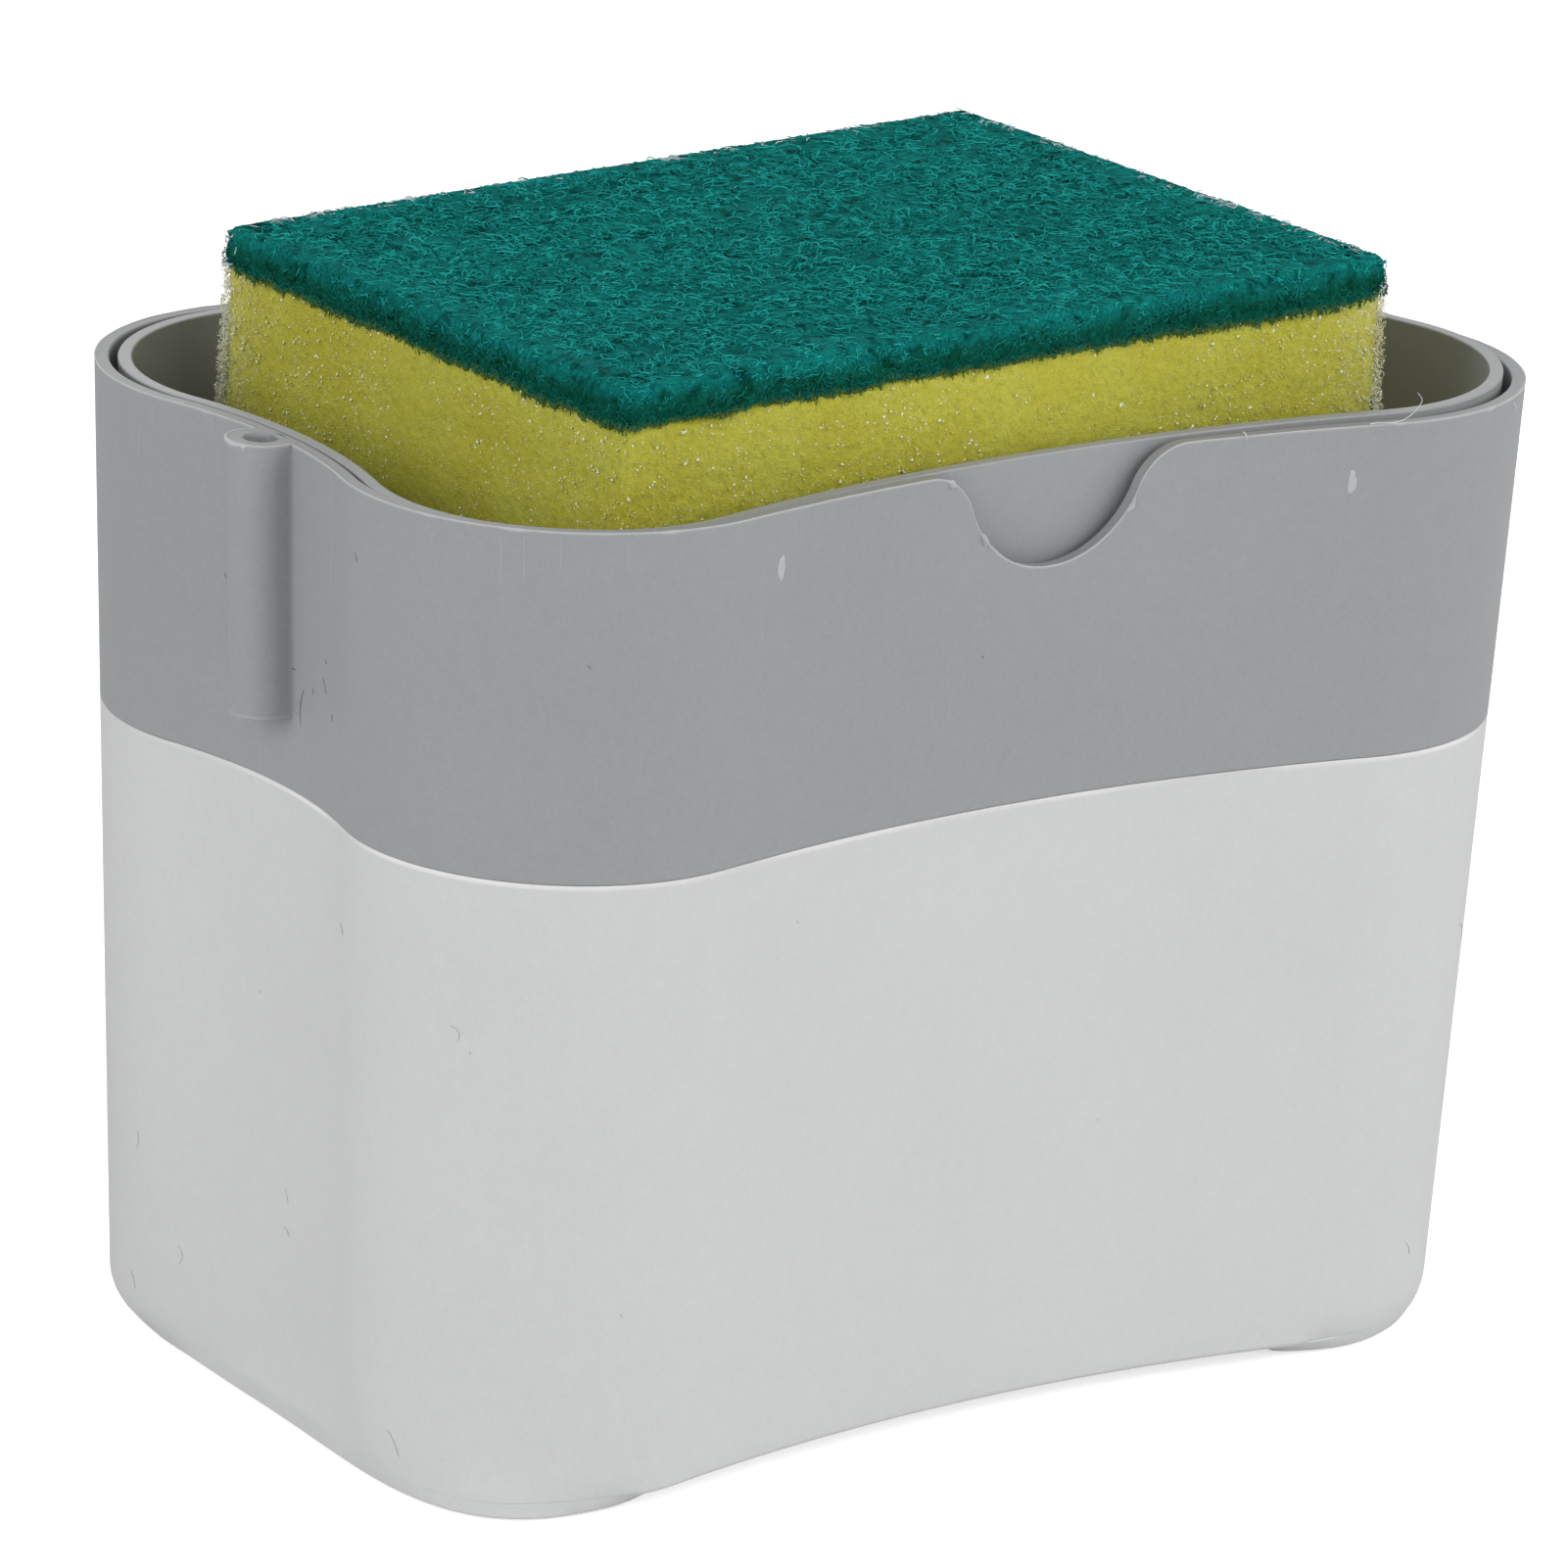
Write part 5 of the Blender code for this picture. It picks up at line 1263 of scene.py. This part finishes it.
def pad_painted_shade(tree, tone):
    """Painted shade on the pad below its top: darker with depth, from the mark that the mesh carries."""
    share = times(tree, ramp(tree, mesh_mark(tree, "depth"), 0.12, 0.6), 0.72)
    return mixed(tree, share, tone, (0.0018, 0.048, 0.011))


def mat_finish():
    """The scouring pad's body: teal matted fibre over painted shade in its gaps, and painted shade deeper
    down.
    """
    material, tree, shader, place = start("scouring_teal", 0.95, specular=0.04)
    mat = use(tree, FIBRE, Vector=place["Object"])
    drift = noise(tree, place["Object"], 60.0, 3.0, 0.55)
    tone = mixed(tree, ramp(tree, drift, 0.3, 0.7), (0.004, 0.165, 0.148), (0.006, 0.25, 0.225))
    tone = mixed(tree, times(tree, mat["Streak"], 0.45), tone, (0.012, 0.42, 0.39))
    # Painted shade in the gaps between the fibres.
    tone = mixed(tree, times(tree, mat["Gap"], 0.85), tone, (0.0006, 0.040, 0.036))
    feed(tree, shader.inputs["Base Color"], pad_painted_shade(tree, tone))
    relief(tree, shader, mat["Height"], 0.8, 0.0004)
    return material


def fibre_finish():
    """Single scouring fibres, from deep to light teal, with painted shade deeper down and painted rim light
    on some, and some stained by the foam.
    """
    material, tree, shader, place = start("scouring_fibre_teal", 0.85, specular=0.06)
    drift = noise(tree, place["Object"], 900.0)
    shift = times(tree, maths(tree, "SUBTRACT", drift, 0.5), 0.5)
    share = plus(tree, mesh_mark(tree, "tone"), shift, True)
    tone = pad_painted_shade(tree, mixed(tree, share, (0.005, 0.20, 0.180), (0.024, 0.53, 0.485)))
    tone = mixed(tree, mesh_mark(tree, "stained"), tone, STAIN)
    tone = mixed(tree, mesh_mark(tree, "painted_rim_light"), tone, (0.62, 0.70, 0.74))
    feed(tree, shader.inputs["Base Color"], tone)
    relief(tree, shader, drift, 0.1, 0.00005)
    return material


# The object


# Pump pieces of the collar unit, and those that move: node, body, slot, easing of the corners, and the
# profile of radius and height
FIXED_PUMP = (
    ("pump_gasket", "collar_unit", "soft_seal", 0.25, ((12.3, 62.9), (12.3, 61.7), (9.8, 61.7), (9.8, 62.9))),
    ("pump_housing", "collar_unit", "pump_plastic", 0.3, (
        (12.3, 64.7), (12.3, 63.2), (9.5, 63.2), (9.5, 57.1), (7.4, 55.3), (7.4, 26.1), (5.0, 24.3),
        (5.0, 13.53), (3.4, 13.53), (3.4, 20.53), (1.6, 20.53), (1.6, 22.03), (2.9, 23.23), (2.9, 27.5),
        (6.0, 27.5), (6.0, 58.5), (8.1, 58.5), (8.1, 64.7))),
    ("retaining_cap", "collar_unit", "pump_plastic", 0.4, (
        (14.9, 66.5), (14.9, 54.3), (13.1, 54.3), (13.1, 55.9), (12.6, 57.1), (13.1, 57.1), (13.1, 65.0),
        (8.1, 65.0), (8.1, 66.5))),
    ("stem_guide", "collar_unit", "pump_plastic", 0.3, (
        (9.8, 68.0), (9.8, 66.8), (7.8, 66.8), (7.8, 58.8), (5.3, 58.8), (5.3, 68.0))),
    ("ball_cage", "collar_unit", "pump_plastic", 0.25, ((5.7, 30.2), (5.7, 27.8), (1.6, 27.8), (1.6, 30.2))),
    ("dip_tube", "collar_unit", "clear_plastic", 0.15, (
        (3.1, 20.23), (3.1, 5.63), (2.1, 5.63), (2.1, 20.23))),
)
MOVING_PUMP = (
    ("pump_stem", "plunger", "pump_plastic", 0.2, (
        (3.3, 84.0), (3.3, 60.0), (4.6, 60.0), (4.6, 58.8), (3.3, 58.8), (3.3, 53.5), (1.9, 53.5),
        (1.9, 79.13), (1.1, 79.13), (1.1, 80.03), (2.1, 80.93), (2.1, 84.0))),
    ("pump_piston", "plunger", "soft_seal", 0.2, (
        (5.7, 58.5), (5.7, 57.5), (4.9, 56.7), (4.9, 55.3), (5.7, 54.5), (5.7, 53.5), (3.6, 53.5),
        (3.6, 58.5))),
    ("stem_plug", "plunger", "pump_plastic", 0.2, (
        (1.6, 58.2), (1.6, 53.2), (4.8, 53.2), (4.8, 51.8), (0.9, 51.8), (0.9, 58.2))),
    ("outlet_nozzle", "tray", "tray_plastic", 0.25, (
        (9.0, 86.5), (9.0, 85.5), (5.0, 85.5), (5.0, 64.0), (3.6, 64.0), (3.6, 86.5))),
    ("nozzle_washer", "tray", "soft_seal", 0.2, ((9.0, 85.2), (9.0, 84.4), (5.3, 84.4), (5.3, 85.2))),
)
RIPPLED = {"retaining_cap": {"segments": 288, "ripple": 0.35, "ripples": 36}}


def dress(thing, material, body, slot, *nodes):
    """Gives a piece its material and its body, and hides the CAD nodes that it stands for. The slot is not
    used.
    """
    thing.data.materials.append(material)
    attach(thing, body)
    if nodes:
        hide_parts(*nodes)
    return thing


def pump_pieces(pieces, looks):
    """Turned pump pieces, each with the material of its slot."""
    for name, body, slot, ease, profile in pieces:
        thing = turned(name + "_fine", profile, ease, **RIPPLED.get(name, {}))
        dress(thing, looks[slot], body, slot, name)


def make_pump(tray_grey):
    """The pump. Its balls and its outlet cap keep their CAD meshes."""
    white = satin_plastic("pump_white", (0.74, 0.74, 0.73), (0.86, 0.86, 0.85), 0.34, 0.2, bump=0.06)
    seal = satin_plastic("seal_rubber", (0.66, 0.66, 0.64), (0.8, 0.8, 0.8), 0.62, 0.35, bump=0.2)
    wire = drawn_steel("spring_wire", (0.60, 0.61, 0.62), 0.28, (1.0, 1.0, 0.3))
    polish = drawn_steel("ball_polish", (0.66, 0.66, 0.67), 0.15, (1.0, 1.0, 1.0))
    looks = {"pump_plastic": white, "soft_seal": seal, "clear_plastic": clear_tube("tube_milky"),
             "tray_plastic": tray_grey}
    pump_pieces(FIXED_PUMP, looks)
    spring = coil("return_spring_fine", 30.5, 51.5, 4.3, 0.45, 7, 1.4)
    dress(spring, wire, "collar_unit", "spring_steel", "return_spring")
    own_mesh(spring)
    pump_pieces(MOVING_PUMP, looks)
    for name, material in (("inlet_ball", polish), ("outlet_ball", polish), ("outlet_cap", tray_grey)):
        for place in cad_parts[name].material_slots:
            place.material = material


def make_body(tray_grey):
    """The tub, the collar and the tray, with their small marks."""
    grey = satin_plastic("grey_satin", (0.320, 0.326, 0.335), (0.56, 0.57, 0.58), 0.52, 0.55, lines=0.12,
                         specular=0.32)
    pale = satin_plastic("pale_satin", (0.62, 0.625, 0.63), (0.86, 0.86, 0.86), 0.42, 0.38, bump=0.1)
    drag_pale = satin_plastic("drag_pale", (0.38, 0.385, 0.395), (0.5, 0.51, 0.52), 0.5, 0.3)
    flash_pale = satin_plastic("flash_pale", (0.66, 0.67, 0.68), (0.8, 0.8, 0.8), 0.5, 0.4)
    gate_pale = satin_plastic("gate_pale", (0.47, 0.48, 0.49), (0.6, 0.61, 0.62), 0.5, 0.4)
    blue = drifting("lint_blue", 0.8, 0.2, 700.0, 0.35, 0.65, (0.10, 0.14, 0.19), (0.25, 0.31, 0.38))
    faint = drifting("lint_faint", 0.8, 0.2, 700.0, 0.35, 0.65, (0.24, 0.26, 0.30), (0.44, 0.46, 0.50))
    tub, collar = ("tub", "pale_plastic"), ("collar_unit", "grey_plastic")
    dress(tub_shell(), pale, *tub, "reservoir")
    dress(tub_foot("tub_foot_right", 1.0), pale, *tub)
    dress(tub_foot("tub_foot_left", -1.0), pale, *tub)
    dress(collar_shell(), grey, *collar, "collar")
    dress(wire_socket("wire_socket_right", 1.0), grey, *collar)
    dress(wire_socket("wire_socket_left", -1.0), grey, *collar)
    dress(gate_mark("gate_mark_left", 262.3, 97.7), gate_pale, *collar)
    dress(gate_mark("gate_mark_right", 335.5, 97.6), gate_pale, *collar)
    dress(rim_whiskers(), flash_pale, *collar)
    dress(wall_threads("drag_lines", DRAG_LINES, 0.075, -0.045), drag_pale, *collar)
    dress(wall_threads("collar_lint", COLLAR_LINT, 0.05, 0.03), blue, *collar)
    dress(wall_threads("tub_lint", TUB_LINT, 0.034, 0.02), faint, *tub)
    dress(tray_shell(), tray_grey, "tray", "tray_plastic", "sponge_tray")
    ribs = [tray_rib(side * place) for side in (-1.0, 1.0) for place in (16.5, 28.5, 40.5)]
    dress(join("tray_ribs", ribs), tray_grey, "tray", "tray_plastic")


def make_sponge(rng):
    """The foam and the scouring pad."""
    # The lace's near-white colour: partly the pale thin threads, partly painted light through them.
    lace_pale = drifting("sponge_lace_pale", 0.45, 0.5, 300.0, 0.35, 0.65, (0.84, 0.83, 0.42),
                         (0.97, 0.97, 0.84), bump=0.1)
    # Painted glints: the grains' near-white colour stands for light glinting off the foam's cell windows.
    bright = drifting("sponge_glint_bright", 0.25, 0.8, 500.0, 0.38, 0.62, (0.68, 0.66, 0.29),
                      (0.96, 0.96, 0.76))
    foam = dress(foam_block(), foam_finish(), "sponge", "foam", "foam_block")
    dress(foam_lace(rng), lace_pale, "sponge", "foam")
    dress(foam_glints(rng), bright, "sponge", "foam")
    mat = dress(scouring_mat(), mat_finish(), "sponge", "scouring_fibre", "scouring_pad")
    fibres = dress(scouring_fibres(rng), fibre_finish(), "sponge", "scouring_fibre")


def make_object():
    """Every piece of the dispenser."""
    colour, light = (0.320, 0.326, 0.332), (0.56, 0.57, 0.58)
    tray_grey = satin_plastic("tray_satin", colour, light, 0.48, 0.5, specular=0.35)
    make_body(tray_grey)
    make_sponge(np.random.default_rng(20))
    make_pump(tray_grey)


# Studio


# Lamps: name, azimuth and elevation in degrees, distance, size and power
LAMPS = (
    ("right_lamp", -45.0, 22.0, 1.3, (1.0, 0.8), 5.8),
    ("front_lamp", -72.0, 26.0, 1.3, (1.0, 0.8), 3.6),
    ("near_lamp", -150.0, 26.0, 1.3, (1.0, 0.8), 2.8),
    ("left_lamp", -176.0, 22.0, 1.3, (1.0, 0.8), 5.7),
    ("top_lamp", -110.0, 78.0, 1.3, (1.2, 1.2), 1.5),
    ("back_lamp", 70.0, 30.0, 1.4, (1.0, 0.8), 3.5),
)


def set_camera():
    """The camera at the photograph's viewing angle: its directions and its place."""
    right, up, back = (0.81495, -0.57769, 0.04607), (0.13737, 0.26981, 0.95306), (-0.56300, -0.77038, 0.29924)
    spot = (-0.5263, -0.7180, 0.3370)
    data = bpy.data.cameras.new("camera")
    data.sensor_fit = "HORIZONTAL"
    data.sensor_width = 36.0
    data.lens = 204.4
    data.clip_start, data.clip_end = 0.01, 30.0
    camera = bpy.data.objects.new("camera", data)
    camera.matrix_world = Matrix([*zip(right, up, back, spot), (0.0, 0.0, 0.0, 1.0)])
    bpy.context.scene.collection.objects.link(camera)
    bpy.context.scene.camera = camera


def softbox(name, azimuth, elevation, distance, size, power):
    """A rectangular lamp that faces the dispenser from an azimuth and an elevation in degrees."""
    data = bpy.data.lights.new(name, "AREA")
    data.shape = "RECTANGLE"
    data.size, data.size_y = size
    data.energy = power
    lamp = bpy.data.objects.new(name, data)
    a, e = math.radians(azimuth), math.radians(elevation)
    way = Vector((math.cos(e) * math.cos(a), math.cos(e) * math.sin(a), math.sin(e)))
    lamp.location = Vector((0.0, 0.0, 0.06)) + way * distance
    lamp.rotation_euler = way.to_track_quat("Z", "Y").to_euler()
    bpy.context.scene.collection.objects.link(lamp)


def set_world():
    """White surroundings: full strength where they are seen, also mirrored or through something clear, and
    the sky's share as light."""
    world = bpy.data.worlds.new("studio")
    bpy.context.scene.world = world
    world.use_nodes = True
    tree = world.node_tree
    background = tree.nodes["Background"]
    feed(tree, background.inputs["Color"], (1.0, 1.0, 1.0))
    path = node(tree, "ShaderNodeLightPath").outputs
    seen = plus(tree, path["Is Camera Ray"], path["Is Glossy Ray"], True)
    seen = plus(tree, seen, path["Is Transmission Ray"], True)
    feed(tree, background.inputs["Strength"], plus(tree, times(tree, seen, 1.0 - SKY), SKY))


def set_floor():
    """A pale floor that keeps the shadow."""
    material, tree, shader, place = start("floor_white", 0.9, specular=0.1)
    shade = noise(tree, place["Object"], 3.0)
    feed(tree, shader.inputs["Base Color"], mixed(tree, shade, (0.86, 0.86, 0.86), (0.90, 0.90, 0.90)))
    glow = times(tree, node(tree, "ShaderNodeLightPath").outputs["Is Camera Ray"], 0.62)
    feed(tree, shader.inputs["Emission Color"], (1.0, 1.0, 1.0))
    feed(tree, shader.inputs["Emission Strength"], glow)
    side, z = 4000.0, -0.3
    corners = [(-side, -side, z), (side, -side, z), (side, side, z), (-side, side, z)]
    floor = build("floor", corners, [(0, 1, 2, 3)])
    floor.data.materials.append(material)


def set_studio():
    """The surroundings, the floor and the lamps."""
    bpy.context.scene.view_settings.view_transform = "Standard"
    set_world()
    set_floor()
    for lamp in LAMPS:
        softbox(*lamp)


make_object()
set_studio()
set_camera()
